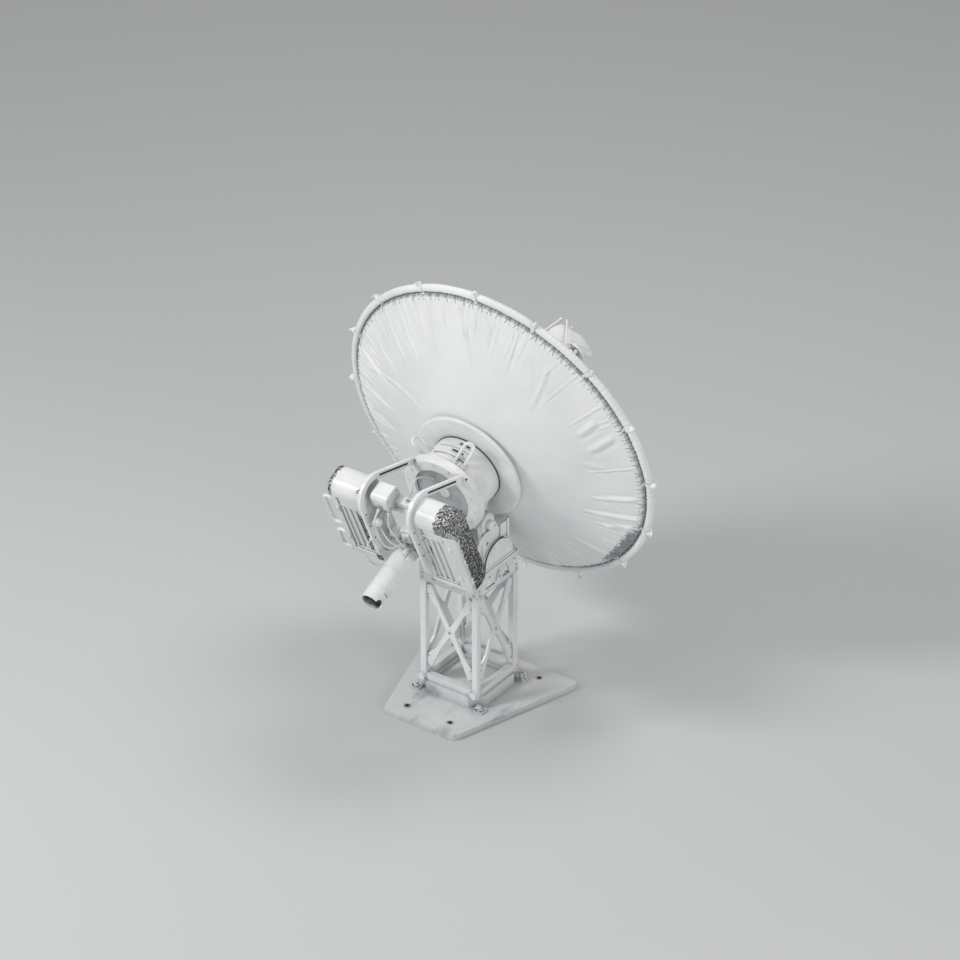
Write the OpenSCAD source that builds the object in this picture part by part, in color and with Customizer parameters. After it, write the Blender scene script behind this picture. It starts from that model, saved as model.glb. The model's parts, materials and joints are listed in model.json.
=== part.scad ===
// Steerable parabolic dish antenna on a lattice mast, with a soft back cover,
// an azimuth turntable, an elevation yoke and two electronics boxes.
// Frame: +Z up, +X to the side, the dish looks towards -Y.
// Origin: on the azimuth axis, at the underside of the base plate.

/* [Base] */
// Thickness of the base plate
plate_t = 35; // [25:1:50]
// Length of the plate's front edge
plate_front_w = 962; // [800:1:1200]
// Length of the plate's rear edge
plate_rear_w = 462; // [400:1:560]
// Distance from the azimuth axis to the front edge
plate_front_y = 347; // [320:1:430]
// Distance from the azimuth axis to the rear edge
plate_rear_y = 459; // [400:1:560]
// Corner radius of the plate
plate_corner_r = 30; // [10:1:45]
// Diameter of the anchor holes
anchor_hole_d = 26; // [18:1:32]
// Spacing of the two front anchor holes
anchor_front_spacing = 556; // [520:1:640]
// Spacing of the two rear anchor holes
anchor_rear_spacing = 280; // [220:1:320]
// Distance of the anchor holes from the front and rear edges
anchor_edge = 91; // [70:1:100]

/* [Mast] */
// Height of the mast's deck above the underside of the base plate
mast_h = 853; // [700:1:1020]
// Spacing of the four posts, centre to centre
post_spacing = 335; // [300:1:390]
// Width of a square post
post_w = 38; // [30:1:46]
// Height of the plinth block
plinth_h = 66; // [50:1:90]
// Margin of the plinth outside the posts' centres
plinth_margin = 33; // [28:1:40]
// Diameter of the bottom rails
rail_d = 40; // [30:1:46]
// Width of a brace bar
brace_w = 24; // [18:1:30]
// Thickness of a brace panel
brace_t = 14; // [8:1:18]
// Gap below and above the brace panels
brace_gap = 50; // [30:1:70]
// Depth of the header frame under the deck
header_h = 100; // [90:1:120]
// Wall thickness of the header frame
header_wall = 12; // [8:1:15]
// Thickness of the deck
deck_t = 25; // [20:1:35]

/* [Azimuth drive] */
// Diameter of the azimuth spindle
spindle_d = 80; // [60:1:90]
// Radial running clearance of the spindle and of the trunnions
fit_clearance = 0.05; // [0.02:0.01:0.1]
// Height of the azimuth bearing housing
az_bearing_h = 50; // [40:1:60]
// Module of both gear pairs
gear_module = 4; // [3:0.5:4.5]
// Teeth of the azimuth gear
az_teeth = 42; // [36:1:44]
// Teeth of each pinion
pinion_teeth = 12; // [10:1:14]
// Face width of the gears
gear_w = 14; // [8:1:16]
// Thickness of the turntable
turntable_t = 12; // [8:1:20]
// Gap between the deck and the turntable
turntable_gap = 3; // [1:0.5:6]
// Radius of the half-round drive housing
housing_r = 122; // [100:1:135]

/* [Yoke] */
// Height of the elevation axis
pivot_z = 1120; // [1090:1:1160]
// Distance of the elevation axis behind the azimuth axis
pivot_y = 60; // [40:1:80]
// Distance from the middle to the outer face of a yoke arm
arm_out = 162; // [155:1:175]
// Thickness of a yoke arm
arm_t = 22; // [16:1:28]
// Radius of a yoke arm's top
arm_r = 62; // [52:1:75]
// Diameter of the elevation trunnions
trunnion_d = 50; // [36:1:60]
// Teeth of the elevation gear, counted on a whole turn
el_teeth = 48; // [40:1:52]

/* [Dish] */
// Diameter of the dish
dish_d = 1830; // [1525:1:2200]
// Focal length of the dish
dish_f = 1001; // [900:1:1200]
// Elevation of the boresight at rest, in degrees
dish_el = 14.2; // [10:0.1:20]
// Distance of the rim plane ahead of the elevation axis
rim_ahead = 435; // [400:1:480]
// Distance of the boresight above the elevation axis
axis_up = 247; // [235:1:275]
// Thickness of the reflector shell
shell_t = 6; // [3:0.5:12]
// Diameter of the tubular rim
rim_tube_d = 38; // [26:1:50]
// Number of radial ribs behind the reflector
rib_n = 16; // [8:2:24]
// Thickness of the soft back cover
skin_t = 10; // [6:1:16]
// Number of clips round the rim
clip_n = 16; // [8:1:24]

/* [Hub] */
// Radius of the hub flange
flange_r = 321; // [300:1:350]
// Thickness of the hub flange
flange_t = 26; // [18:1:36]
// Distance of the flange's rear face behind the rim plane
flange_back = 320; // [310:1:340]
// Radius of the hub drum
drum_r = 200; // [180:1:212]
// Length of the hub drum
drum_len = 181; // [150:1:220]
// Radius of the rear ring
ring_r = 240; // [222:1:262]
// Thickness of the rear ring
ring_t = 60; // [40:1:80]
// Radius of the opening in the rear ring
ring_open_r = 168; // [140:1:176]

/* [Feed] */
// Radius on the reflector where the struts stand
strut_foot_r = 330; // [280:1:400]
// Diameter of a strut
strut_d = 20; // [12:1:28]
// Radius of the feed ring
feed_ring_r = 76; // [66:1:90]
// Distance of the feed ring ahead of the rim plane
feed_ahead = 650; // [600:1:720]
// Radius of the feed horn
feed_horn_r = 52; // [40:1:60]
// Length of the soft feed hood, across the boresight
hood_len = 232; // [200:1:260]
// Width of the feed hood
hood_w = 156; // [140:1:200]
// Height of the feed hood ahead of the feed ring
hood_h = 84; // [60:1:120]
// Shift of the feed hood away from the boresight
hood_shift = 38; // [0:1:60]

/* [Boxes] */
// Distance from the middle to the inner face of a box
box_in = 164; // [158:1:200]
// Width of a box
box_w = 208; // [170:1:250]
// Length of a box
box_len = 600; // [520:1:640]
// Depth of a box
box_depth = 165; // [140:1:180]
// Lean of the boxes from the vertical, in degrees
box_lean = 24; // [18:1:28]
// Distance of the boxes' centre behind the azimuth axis
box_y = 548; // [530:1:600]
// Height of the boxes' centre
box_z = 1277; // [1260:1:1320]
// Corner radius at the ends of a box
box_corner_r = 62; // [40:1:75]
// Thickness of the cover and of the side panels
panel_t = 14; // [8:1:20]
// Diameter of the round bar in the handles
handle_d = 19; // [12:1:22]
// Diameter of the cross tubes between the boxes
cross_tube_d = 46; // [34:1:56]

/* [Tail tube] */
// Diameter of the tail tube
tail_d = 116; // [90:1:130]
// Length of the tail tube
tail_len = 412; // [360:1:520]
// Wall thickness of the tail tube
tail_wall = 6; // [3:1:10]

/* [Hidden] */
$fn = 64;
gap = 0.3;                       // air between parts that don't fit in each other
post_c = post_spacing / 2;
post_face = post_c + post_w / 2;
post_in = post_c - post_w / 2;
plinth_top = plate_t + plinth_h;
header_z = mast_h - deck_t - header_h;
deck_z = mast_h - deck_t;
brace_z0 = plinth_top + rail_d + brace_gap;
brace_z1 = header_z - brace_gap / 2;
plinth_half = post_c + plinth_margin;
deck_half = post_face + 3;
table_z = mast_h + turntable_gap;
table_top = table_z + turntable_t;
housing_y = -20;
housing_half = deck_half - 5;
housing_wall = 5;
az_gear_z = deck_z - az_bearing_h - 24;
az_gear_r = gear_module * az_teeth / 2;
pinion_r = gear_module * pinion_teeth / 2;
az_pinion_y = -(az_gear_r + pinion_r);
az_motor_r = 30;
el_gear_r = gear_module * el_teeth / 2;
el_pinion_z = pivot_z - el_gear_r - pinion_r;
gear_x = arm_out + 8;
arm_in = arm_out - arm_t;
cheek_x = arm_in - 14;
cheek_t = 26;
el_motor_r = 28;
// the motor's flange stops short of the housing below it
el_flange_r = min(el_motor_r + 9, norm([pivot_y - housing_y, el_pinion_z - table_top]) - housing_r - 1);
dish_r = dish_d / 2;
rim_tube_r = rim_tube_d / 2;
dish_depth = dish_r * dish_r / (4 * dish_f);
vertex_z = rim_ahead - dish_depth;
flange_z = rim_ahead - flange_back;
ring_z = flange_z - drum_len - ring_t;
skin_r0 = flange_r - 40;
skin_z0 = flange_z + flange_t + skin_t + gap;
skin_r1 = dish_r - rim_tube_r - gap;
skin_edge = 34;                  // how far the cover's edge lies behind the rim plane
rib_r0 = 120;
box_c = box_in + box_w / 2;
strut_top_r = feed_ring_r - 12;
ring_plate_t = 16;
hood_turn = 36;                  // direction in which the feed hood lies, in degrees
tail_recess = 34;                // depth of the tail tube's open end
// each handle of the left box: its middle along the box as a share of the length, and its half length
handle_places = [[0.1, 108], [-0.31, 66]];
// where the side frames meet the rear ring, measured from the middle of the boxes
ring_at = [pivot_y - (ring_z + 1) * cos(dish_el) + (axis_up + ring_r * 0.78) * sin(dish_el) - box_y,
           pivot_z + (ring_z + 1) * sin(dish_el) + (axis_up + ring_r * 0.78) * cos(dish_el) - box_z];
case_w = box_w - panel_t - gap;
case_edge = 20;                  // border round a box's rear window
case_ledge = 8;                  // ledge that the cover rests on
case_floor = 10;                 // wall on the side towards the dish
window_z0 = -box_len / 2 + 80;
window_h = box_len - 170;
frame_t = 20;
frame_w = 36;
frame_bend_r = 118;
frame_x = box_in - frame_t - gap;
cross_top = [-20, 155];          // place of the cross tubes across and along the boxes
cross_low = [-30, -125];
cross_r = cross_tube_d / 2;
bearing_r = trunnion_d / 2 + 14;

function bowl_z(r) = vertex_z + r * r / (4 * dish_f);
function skin_z(r) = skin_z0 + (rim_ahead - skin_edge - skin_z0) * (r - skin_r0) / (skin_r1 - skin_r0);

// Frames
module on_dish(z = 0) {
    translate([0, pivot_y, pivot_z]) rotate([90 - dish_el, 0, 0])
        translate([0, axis_up, z]) children();
}
module on_pivot() {
    translate([0, pivot_y, pivot_z]) rotate([90 - dish_el, 0, 0]) children();
}
module between_boxes() { translate([0, box_y, box_z]) rotate([-box_lean, 0, 0]) children(); }
module on_box(side) { between_boxes() translate([side * box_c, 0, 0]) children(); }
module around(n) { for (i = [0 : n - 1]) rotate([0, 0, 360 * i / n]) children(); }
module along_x(x0, x1, r) {
    translate([min(x0, x1), 0, 0]) rotate([0, 90, 0]) cylinder(h = abs(x1 - x0), r = r);
}
module rod(a, b, r) {
    d = b - a;
    translate(a) rotate([0, acos(d[2] / norm(d)), atan2(d[1], d[0])]) cylinder(h = norm(d), r = r);
}
module ring(r_out, r_in, h) {
    difference() {
        cylinder(h = h, r = r_out, $fn = 128);
        translate([0, 0, -1]) cylinder(h = h + 2, r = r_in, $fn = 128);
    }
}
module bolt_head(r, h) { cylinder(h = h, r = r, $fn = 6); }
// A square with chamfered corners, half width a, chamfer c
module chamfered(a, c) {
    polygon([[a, a - c], [a - c, a], [c - a, a], [-a, a - c],
             [-a, c - a], [c - a, -a], [a - c, -a], [a, c - a]]);
}
// A rectangle whose corners are arcs, centred
module rounded(w, h, r) {
    polygon([for (q = [0 : 3], k = [0 : 6])
        let (t = 90 * q + 15 * k, sx = (q == 0 || q == 3) ? 1 : -1, sy = q < 2 ? 1 : -1)
        [sx * (w / 2 - r) + r * cos(t), sy * (h / 2 - r) + r * sin(t)]]);
}
// A flat gear with tapered teeth that leave backlash
module gear(n, first = 0, count = -1) {
    r = gear_module * n / 2;
    teeth = count < 0 ? n : count;
    root = r - 1.15 * gear_module;
    half = gear_module * PI / 4 * 0.78;
    cylinder(h = gear_w, r = root);
    for (i = [first : first + teeth - 1]) rotate([0, 0, 360 * i / n])
        linear_extrude(gear_w) polygon([
            [root - 1, -half * 1.35], [r, -half], [r + 0.85 * gear_module, -half * 0.45],
            [r + 0.85 * gear_module, half * 0.45], [r, half], [root - 1, half * 1.35]]);
}
// Centre line of a tube bent round a corner, swept as a tube of round section
module bend(radius, angle, r) { rotate_extrude(angle = angle) translate([radius, 0]) circle(r, $fn = 24); }

// Base and mast
module base_plate() {
    color("white") difference() {
        linear_extrude(plate_t) plate_outline();
        for (s = [-1, 1]) {
            translate([s * anchor_front_spacing / 2, anchor_edge - plate_front_y, -1])
                cylinder(h = plate_t + 2, d = anchor_hole_d);
            translate([s * anchor_rear_spacing / 2, plate_rear_y - anchor_edge, -1])
                cylinder(h = plate_t + 2, d = anchor_hole_d);
        }
    }
}
// A trapezoid whose corners are arcs
module plate_outline() {
    f = plate_front_w / 2;
    b = plate_rear_w / 2;
    r = plate_corner_r;
    slope = atan2(f - b, plate_front_y + plate_rear_y);
    front = [f - r * tan(45 + slope / 2), r - plate_front_y];
    rear = [b - r * tan(45 - slope / 2), plate_rear_y - r];
    right = concat(
        [for (j = [0 : 6]) let (t = -90 + (90 + slope) * j / 6) front + r * [cos(t), sin(t)]],
        [for (j = [0 : 6]) let (t = slope + (90 - slope) * j / 6) rear + r * [cos(t), sin(t)]]);
    polygon(concat(right, [for (i = [len(right) - 1 : -1 : 0]) [-right[i][0], right[i][1]]]));
}
module plinth() {
    color("white") translate([0, 0, plate_t]) difference() {
        linear_extrude(plinth_h) chamfered(plinth_half, 66);
        translate([0, 0, plinth_h - 16]) linear_extrude(20) chamfered(post_in - 20, 20);
    }
}
module plinth_bolts() {
    color("white") for (sx = [-1, 1], sy = [-1, 1])
        translate([sx * (plinth_half + 6), sy * (plinth_half + 6) * 0.93, plate_t]) {
            linear_extrude(9) rounded(62, 56, 14);
            translate([0, 0, 9]) bolt_head(17, 15);
            translate([0, 0, 24]) cylinder(h = 9, r = 9, $fn = 24);
            translate([sx * 20, -sy * 16, 9]) bolt_head(8, 9);
        }
}
module bottom_rails() {
    thick = rail_d - 4;
    color("white") for (s = [-1, 1]) {
        for (e = [-1, 1]) translate([s * post_c, e * post_face + (e > 0 ? 0 : -18), plinth_top + rail_d / 2])
            rotate([-90, 0, 0]) cylinder(h = 18, d = rail_d);
        translate([s * post_c - thick / 2, -post_in, plinth_top]) cube([thick, 2 * post_in, rail_d]);
        translate([-post_in, s * post_c - thick / 2, plinth_top]) cube([2 * post_in, thick, rail_d]);
    }
}
module post(sx, sy) {
    color("white") translate([sx * post_c, sy * post_c, plinth_top])
        linear_extrude(header_z - plinth_top) rounded(post_w, post_w, 7);
}
// One X brace in the plane of a mast face, with a wide node and gussets at its ends
module brace() {
    w = post_in - gap;
    h = (brace_z1 - brace_z0) / 2;
    lean = atan2(h, w);
    half = brace_w / 2;
    neck = half / sin(lean);
    // a quarter of the outline, from the side of the node round an arm to the node's top
    quarter = [[neck * 1.9, 0], [w * 0.5 + neck, h * 0.5], [w, h - half / cos(lean) - 46], [w, h],
               [w - 30, h], [w * 0.5 - neck, h * 0.5], [0, half * 1.3 / cos(lean)]];
    last = len(quarter) - 1;
    translate([0, brace_t / 2, (brace_z0 + brace_z1) / 2]) rotate([90, 0, 0]) linear_extrude(brace_t)
        polygon(concat(
            [for (i = [0 : last]) quarter[i]],
            [for (i = [last - 1 : -1 : 0]) [-quarter[i][0], quarter[i][1]]],
            [for (i = [1 : last]) -quarter[i]],
            [for (i = [last - 1 : -1 : 1]) [quarter[i][0], -quarter[i][1]]]));
}
module brace_at(turn) { color("white") rotate([0, 0, turn]) translate([0, -post_c, 0]) brace(); }
module header_frame() {
    boss_z = header_z + header_h * 0.42;
    color("white") {
        difference() {
            translate([0, 0, header_z]) linear_extrude(header_h) square(2 * post_face, center = true);
            translate([0, 0, header_z - 1]) linear_extrude(header_h + 2)
                square(2 * (post_face - header_wall), center = true);
            for (turn = [0, 90], m = [0, 1]) rotate([0, 0, turn]) mirror([m, 0, 0])
                translate([22, 0, header_z + 18]) rotate([90, 0, 0])
                    linear_extrude(3 * post_face, center = true)
                        polygon([[0, 0], [88, 0], [72, 52], [54, 52]]);
            for (s = [-1, 1]) translate([s * post_face, 0, boss_z + 14]) rotate([0, 90, 0])
                cylinder(h = 4 * header_wall, r = 7, center = true);
        }
        for (s = [-1, 1]) translate([s * post_face, 0, boss_z + 14]) rotate([90, 0, 90 * s])
            linear_extrude(14) difference() {
                polygon([[-26, -20], [26, -20], [0, 34]]);
                circle(7);
            }
    }
}
module mast_deck() {
    color("white") translate([0, 0, deck_z]) difference() {
        linear_extrude(deck_t) chamfered(deck_half, 16);
        translate([0, 0, -1]) cylinder(h = deck_t + 2, r = spindle_d / 2 + 6);
    }
}

// Azimuth drive
module azimuth_bearing() {
    color("silver") translate([0, 0, deck_z - az_bearing_h]) difference() {
        union() {
            cylinder(h = az_bearing_h, r = spindle_d / 2 + 15);
            translate([0, 0, az_bearing_h - 10]) cylinder(h = 10, r = spindle_d / 2 + 30);
        }
        translate([0, 0, -1]) cylinder(h = az_bearing_h + 2, r = spindle_d / 2 + fit_clearance);
    }
}
module azimuth_motor() {
    color("dimgray") translate([0, az_pinion_y, 0]) difference() {
        union() {
            translate([0, 0, az_gear_z + gear_w + 4])
                cylinder(h = deck_z - az_gear_z - gear_w - 4, r = az_motor_r);
            translate([-26, -34, deck_z - 12]) cube([52, 68, 12]);
        }
        translate([0, 0, az_gear_z]) cylinder(h = gear_w + 24, r = 8 + fit_clearance);
    }
}
module azimuth_pinion() {
    color("silver") translate([0, az_pinion_y, az_gear_z]) {
        rotate([0, 0, 90 + 180 / pinion_teeth]) gear(pinion_teeth);
        cylinder(h = gear_w + 22, r = 8);
    }
}
module azimuth_spindle() {
    color("silver") {
        translate([0, 0, az_gear_z - 12]) cylinder(h = table_z - az_gear_z + 12, d = spindle_d);
        translate([0, 0, az_gear_z - 24]) cylinder(h = 12, d = spindle_d + 24);
    }
}
module azimuth_gear() {
    color("silver") translate([0, 0, az_gear_z]) difference() {
        rotate([0, 0, -90]) gear(az_teeth);
        translate([0, 0, -1]) cylinder(h = gear_w + 2, r = spindle_d / 2 + 0.1);
    }
}
module turntable() {
    color("white") translate([0, 0, table_z]) linear_extrude(turntable_t) chamfered(deck_half - 2, 26);
}
module half_round(x0, x1, r) {
    translate([0, housing_y, table_top]) intersection() {
        along_x(x0, x1, r);
        translate([x0 - 1, -r - 1, 0]) cube([x1 - x0 + 2, 2 * r + 2, r + 2]);
    }
}
module drive_housing() {
    x = housing_half - 10;
    color("white") difference() {
        half_round(-x, x, housing_r, $fn = 96);
        half_round(-x + housing_wall, x - housing_wall, housing_r - housing_wall, $fn = 96);
    }
}
module housing_end_covers() {
    color("white") for (s = [-1, 1]) {
        x = housing_half - 10 + gap;
        half_round(min(s * x, s * (x + 4)), max(s * x, s * (x + 4)), housing_r - 7, $fn = 96);
        half_round(min(s * (x + 4), s * (x + 9)), max(s * (x + 4), s * (x + 9)), housing_r, $fn = 96);
    }
}

// Yoke
module yoke_arm(side) {
    foot = housing_r * 0.74;
    color("white") difference() {
        translate([side > 0 ? arm_in : -arm_out, 0, 0]) rotate([90, 0, 90]) linear_extrude(arm_t)
            union() {
                translate([pivot_y, pivot_z]) circle(arm_r);
                polygon([[housing_y - foot, table_top + housing_r * 0.55],
                         [housing_y + foot + 24, table_top + housing_r * 0.45],
                         [pivot_y + arm_r, pivot_z], [pivot_y - arm_r, pivot_z]]);
            }
        translate([0, housing_y, table_top]) along_x(-2 * arm_out, 2 * arm_out, housing_r + gap, $fn = 96);
        translate([0, pivot_y, pivot_z]) along_x(-2 * arm_out, 2 * arm_out, bearing_r + gap);
        translate([0, pivot_y, el_pinion_z]) along_x(-2 * arm_out, 2 * arm_out, 8 + 2);
    }
}
module elevation_bearings() {
    color("silver") for (s = [-1, 1]) translate([s * (arm_in + arm_t / 2), pivot_y, pivot_z])
        difference() {
            along_x(-arm_t / 2, arm_t / 2, bearing_r);
            along_x(-arm_t, arm_t, trunnion_d / 2 + fit_clearance);
        }
}
module elevation_motor() {
    color("dimgray") translate([0, pivot_y, el_pinion_z]) difference() {
        union() {
            along_x(30, arm_in - gap, el_motor_r);
            along_x(arm_in - 12, arm_in - gap, el_flange_r);
        }
        along_x(arm_in - 40, arm_in + 2, 8 + fit_clearance);
    }
}
module arm_conduit() {
    color("white") translate([-arm_out - 9, 0, 0]) {
        translate([0, pivot_y + 6, table_top + housing_r + 8]) rotate([0, -90, 0]) bend(84, 90, 8);
        translate([0, pivot_y + 90, table_top]) cylinder(h = housing_r + 8, r = 8);
        translate([0, pivot_y + 6, table_top + housing_r + 92]) rotate([90, 0, 0])
            cylinder(h = 70, r = 8);
    }
}
module arm_guard() {
    y = housing_y - housing_r * 0.74;
    color("white") {
        translate([-arm_out - gap - 7, y, table_top + housing_r + gap]) cube([7, 62, 76]);
        translate([-arm_out - 9, y, table_top + housing_r - 20]) cylinder(h = 112, r = 8);
    }
}
module elevation_pinion() {
    color("silver") translate([gear_x, pivot_y, el_pinion_z]) rotate([90, 0, 90]) {
        rotate([0, 0, 90 + 180 / pinion_teeth]) gear(pinion_teeth);
        translate([0, 0, arm_in - 36 - gear_x]) cylinder(h = gear_x - arm_in + 36, r = 8);
    }
}

// Elevating head: hub
module trunnion(side) {
    top = axis_up - drum_r * 0.8;
    color("white") on_pivot() difference() {
        union() {
            translate([side > 0 ? cheek_x - cheek_t : -cheek_x, 0, 0]) rotate([90, 0, 90])
                linear_extrude(cheek_t) union() {
                    circle(44);
                    polygon([[-44, 0], [top + 60, flange_z - drum_len * 0.85],
                             [top + 60, flange_z - 12], [0, 44]]);
                }
            along_x(side * (cheek_x - 2), side * (gear_x + gear_w + 6), trunnion_d / 2);
        }
        translate([0, axis_up, -500]) cylinder(h = 1000, r = drum_r + gap, $fn = 128);
    }
}
module elevation_gear() {
    from = -3;
    count = 12;
    color("silver") translate([gear_x, pivot_y, pivot_z]) rotate([90, 0, 90]) difference() {
        intersection() {
            rotate([0, 0, -90]) gear(el_teeth, from, count);
            rotate([0, 0, -90]) linear_extrude(gear_w) union() {
                circle(trunnion_d / 2 + 18);
                polygon(concat([[0, 0]], [for (t = [from - 0.4, count / 2 + from, count + from - 0.6])
                    1.3 * el_gear_r * [cos(360 * t / el_teeth), sin(360 * t / el_teeth)]]));
            }
        }
        translate([0, 0, -1]) cylinder(h = gear_w + 2, r = trunnion_d / 2 + 0.1);
    }
}
module hub_drum() {
    color("white") on_dish(flange_z - drum_len) difference() {
        ring(drum_r, drum_r - 8, drum_len - gap);
        for (t = [-64, -116]) rotate([0, 0, t + 180]) translate([drum_r, 0, drum_len * 0.3])
            rotate([0, 90, 0]) cylinder(h = 30, r = 5, center = true);
    }
    color("white") on_dish(flange_z - drum_len) for (k = [0.3, 0.62]) rotate([0, 0, 62])
        translate([0, 0, drum_len * k]) rotate_extrude(angle = 56)
            translate([drum_r + gap, 0]) square([7, 16]);
}
module hub_flange() {
    lip = flange_t / 2;
    color("white") on_dish(flange_z) rotate_extrude($fn = 128) union() {
        translate([drum_r - 30, 0]) square([flange_r - drum_r + 30 - lip, flange_t]);
        translate([flange_r - lip, lip]) circle(lip, $fn = 32);
    }
}
module rear_ring() {
    c = 14;
    color("white") on_dish(ring_z) rotate_extrude($fn = 128)
        polygon([[ring_open_r, 0], [ring_r - c, 0], [ring_r, c], [ring_r, ring_t - c],
                 [ring_r - c, ring_t - gap], [ring_open_r, ring_t - gap]]);
}
module rear_disc() {
    color("gray") on_dish(ring_z + 22) rotate_extrude($fn = 96)
        polygon([[0, 14], [ring_open_r * 0.55, 8], [ring_open_r * 0.8, 0], [ring_open_r - gap, 0],
                 [ring_open_r - gap, ring_t - 26], [0, ring_t - 26]]);
}
// A loop handle that stands on the drum: two legs and a half-round top. The left one stands
// straight up along the boresight, the right one is turned across it and leans forward
module drum_handle(side) {
    angle = side > 0 ? 43 : 114;
    reach = side > 0 ? 96 : 112;
    turn = side > 0 ? [0, 0, 0] : [90, 0, 0];
    foot_z = side > 0 ? 0 : -42;
    half = 27;
    color("white") on_dish(foot_z) rotate([0, 0, angle]) difference() {
        translate([drum_r - 12, 0, 0]) rotate([0, side > 0 ? 0 : -38, 0]) rotate(turn) {
            for (s = [-1, 1]) translate([0, 0, s * half]) rotate([0, 90, 0])
                cylinder(h = reach, d = handle_d);
            translate([reach, 0, 0]) rotate([90, 0, 0]) rotate([0, 0, -90]) bend(half, 180, handle_d / 2);
        }
        translate([0, 0, -drum_len]) cylinder(h = 2 * drum_len, r = drum_r + gap, $fn = 128);
    }
}

// Elevating head: dish
module reflector() {
    n = 20;
    inner = [for (i = [0 : n]) let (r = dish_r * i / n) [r, bowl_z(r)]];
    outer = [for (i = [n : -1 : 0]) let (r = dish_r * i / n) [r, bowl_z(r) - shell_t]];
    color("white") on_dish() rotate_extrude($fn = 128) polygon(concat(inner, outer));
}
module back_ribs() {
    n = 8;
    r1 = dish_r * 0.62;
    r0 = rib_r0 + 6;
    upper = [for (i = [0 : n]) let (r = r0 + (r1 - r0) * i / n) [r, bowl_z(r) - shell_t - 2]];
    lower = [for (i = [n : -1 : 0]) let (r = skin_r0 + (r1 - skin_r0) * i / n) [r, skin_z(r) + skin_t + 2]];
    color("silver") on_dish() union() {
        around(rib_n) rotate([90, 0, 0]) linear_extrude(5, center = true)
            polygon(concat(upper, lower, [[r0, skin_z0 + skin_t + 2]]));
        translate([0, 0, skin_z0 + skin_t + 2]) ring(rib_r0 + 14, rib_r0, 46);
    }
}
module back_skin() {
    color("white") on_dish() rotate_extrude($fn = 96) polygon([
        [skin_r0, skin_z(skin_r0) - skin_t], [skin_r1, skin_z(skin_r1) - skin_t],
        [skin_r1, skin_z(skin_r1)], [skin_r0, skin_z(skin_r0)]]);
}
module rim_tube() {
    color("white") on_dish(rim_ahead) rotate_extrude($fn = 128)
        translate([dish_r + rim_tube_r + gap, -rim_tube_r * 0.4]) circle(rim_tube_r, $fn = 24);
}
module rim_clips() {
    r = dish_r + rim_tube_d + gap;
    color("white") on_dish(rim_ahead - rim_tube_r * 0.4) around(clip_n) translate([r + gap, 0, 0])
        rotate([90, 0, 0]) linear_extrude(16, center = true)
            polygon([[0, -15], [10, -13], [24, -30], [27, -24], [17, 0], [8, 14], [0, 14]]);
}

// Elevating head: feed
module strut(turn) {
    foot = [strut_foot_r, 0, bowl_z(strut_foot_r) + 9];
    top = [strut_top_r, 0, rim_ahead + feed_ahead - gap - strut_d * 0.25];
    on_dish() rotate([0, 0, turn]) {
        intersection() {
            rod(foot, top, strut_d / 2);
            translate([0, -50, bowl_z(strut_foot_r) + 8]) cube([dish_r, 100, top[2] - bowl_z(strut_foot_r) - 8]);
        }
        translate([strut_foot_r, 0, bowl_z(strut_foot_r) + 9]) rotate([0, -atan(strut_foot_r / dish_f / 2), 0])
            translate([0, 0, -6]) cylinder(h = 8, r = 22);
    }
}
module feed_struts() { color("white") for (t = [45, 135, 225, 315]) strut(t); }
module feed_ring() {
    color("white") on_dish(rim_ahead + feed_ahead) {
        difference() {
            cylinder(h = ring_plate_t, r = feed_ring_r, $fn = 96);
            translate([0, 0, -1]) cylinder(h = ring_plate_t + 2, r = feed_horn_r + gap);
        }
    }
}
module feed_horn() {
    throat = 30;
    color("silver") on_dish(rim_ahead + feed_ahead - 62) rotate_extrude($fn = 96) polygon([
        [throat, 62 - gap], [throat, 40], [feed_horn_r - 10, 0], [feed_horn_r, 0], [feed_horn_r, 14],
        [feed_horn_r - 6, 14], [feed_horn_r - 6, 22], [feed_horn_r, 22], [feed_horn_r, 30],
        [feed_horn_r - 6, 30], [feed_horn_r - 6, 38], [feed_horn_r, 38], [feed_horn_r, 62 - gap]]);
}
// The hood leans to one side of the ring, along its long direction
module feed_hood() {
    color("white") on_dish(rim_ahead + feed_ahead + ring_plate_t + gap) rotate([0, 0, hood_turn])
        translate([hood_shift, 0, 0]) linear_extrude(hood_h) rounded(hood_len, hood_w, 55);
}

// Elevating head: boxes
module box_outline(grow = 0) { rounded(box_depth + 2 * grow, box_len + 2 * grow, box_corner_r + grow); }
module across_box(x0, w) {
    translate([x0, 0, 0]) rotate([90, 0, 90]) linear_extrude(w) children();
}
function case_x0(side) = side > 0 ? -box_w / 2 : box_w / 2 - case_w;
module box_case(side) {
    x0 = case_x0(side);
    seat = box_depth / 2 - panel_t - gap;
    inset = case_edge + case_ledge;
    color("white") on_box(side) difference() {
        across_box(x0, case_w) box_outline();
        translate([x0 + case_edge, seat, window_z0]) cube([case_w - 2 * case_edge, 2 * panel_t, window_h]);
        translate([x0 + inset, -box_depth / 2 + case_floor, window_z0 + case_ledge])
            cube([case_w - 2 * inset, box_depth, window_h - 2 * case_ledge]);
    }
}
module box_covers() {
    plate = panel_t - 8;
    back = box_depth / 2 - panel_t + plate;
    color("white") for (side = [-1, 1]) on_box(side) {
        x0 = case_x0(side) + case_edge + gap;
        w = case_w - 2 * case_edge - 2 * gap;
        h = window_h - 2 * gap;
        translate([x0, back - plate, window_z0 + gap]) cube([w, plate, h]);
        for (k = [0.3, 0.55, 0.8]) translate([x0 + w * k, back, window_z0 + 30])
            cube([9, 8, h - 110]);
        for (k = [0.04, 0.86]) translate([x0 + 12, back, window_z0 + h * k]) cube([w - 24, 8, 11]);
    }
}
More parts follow.
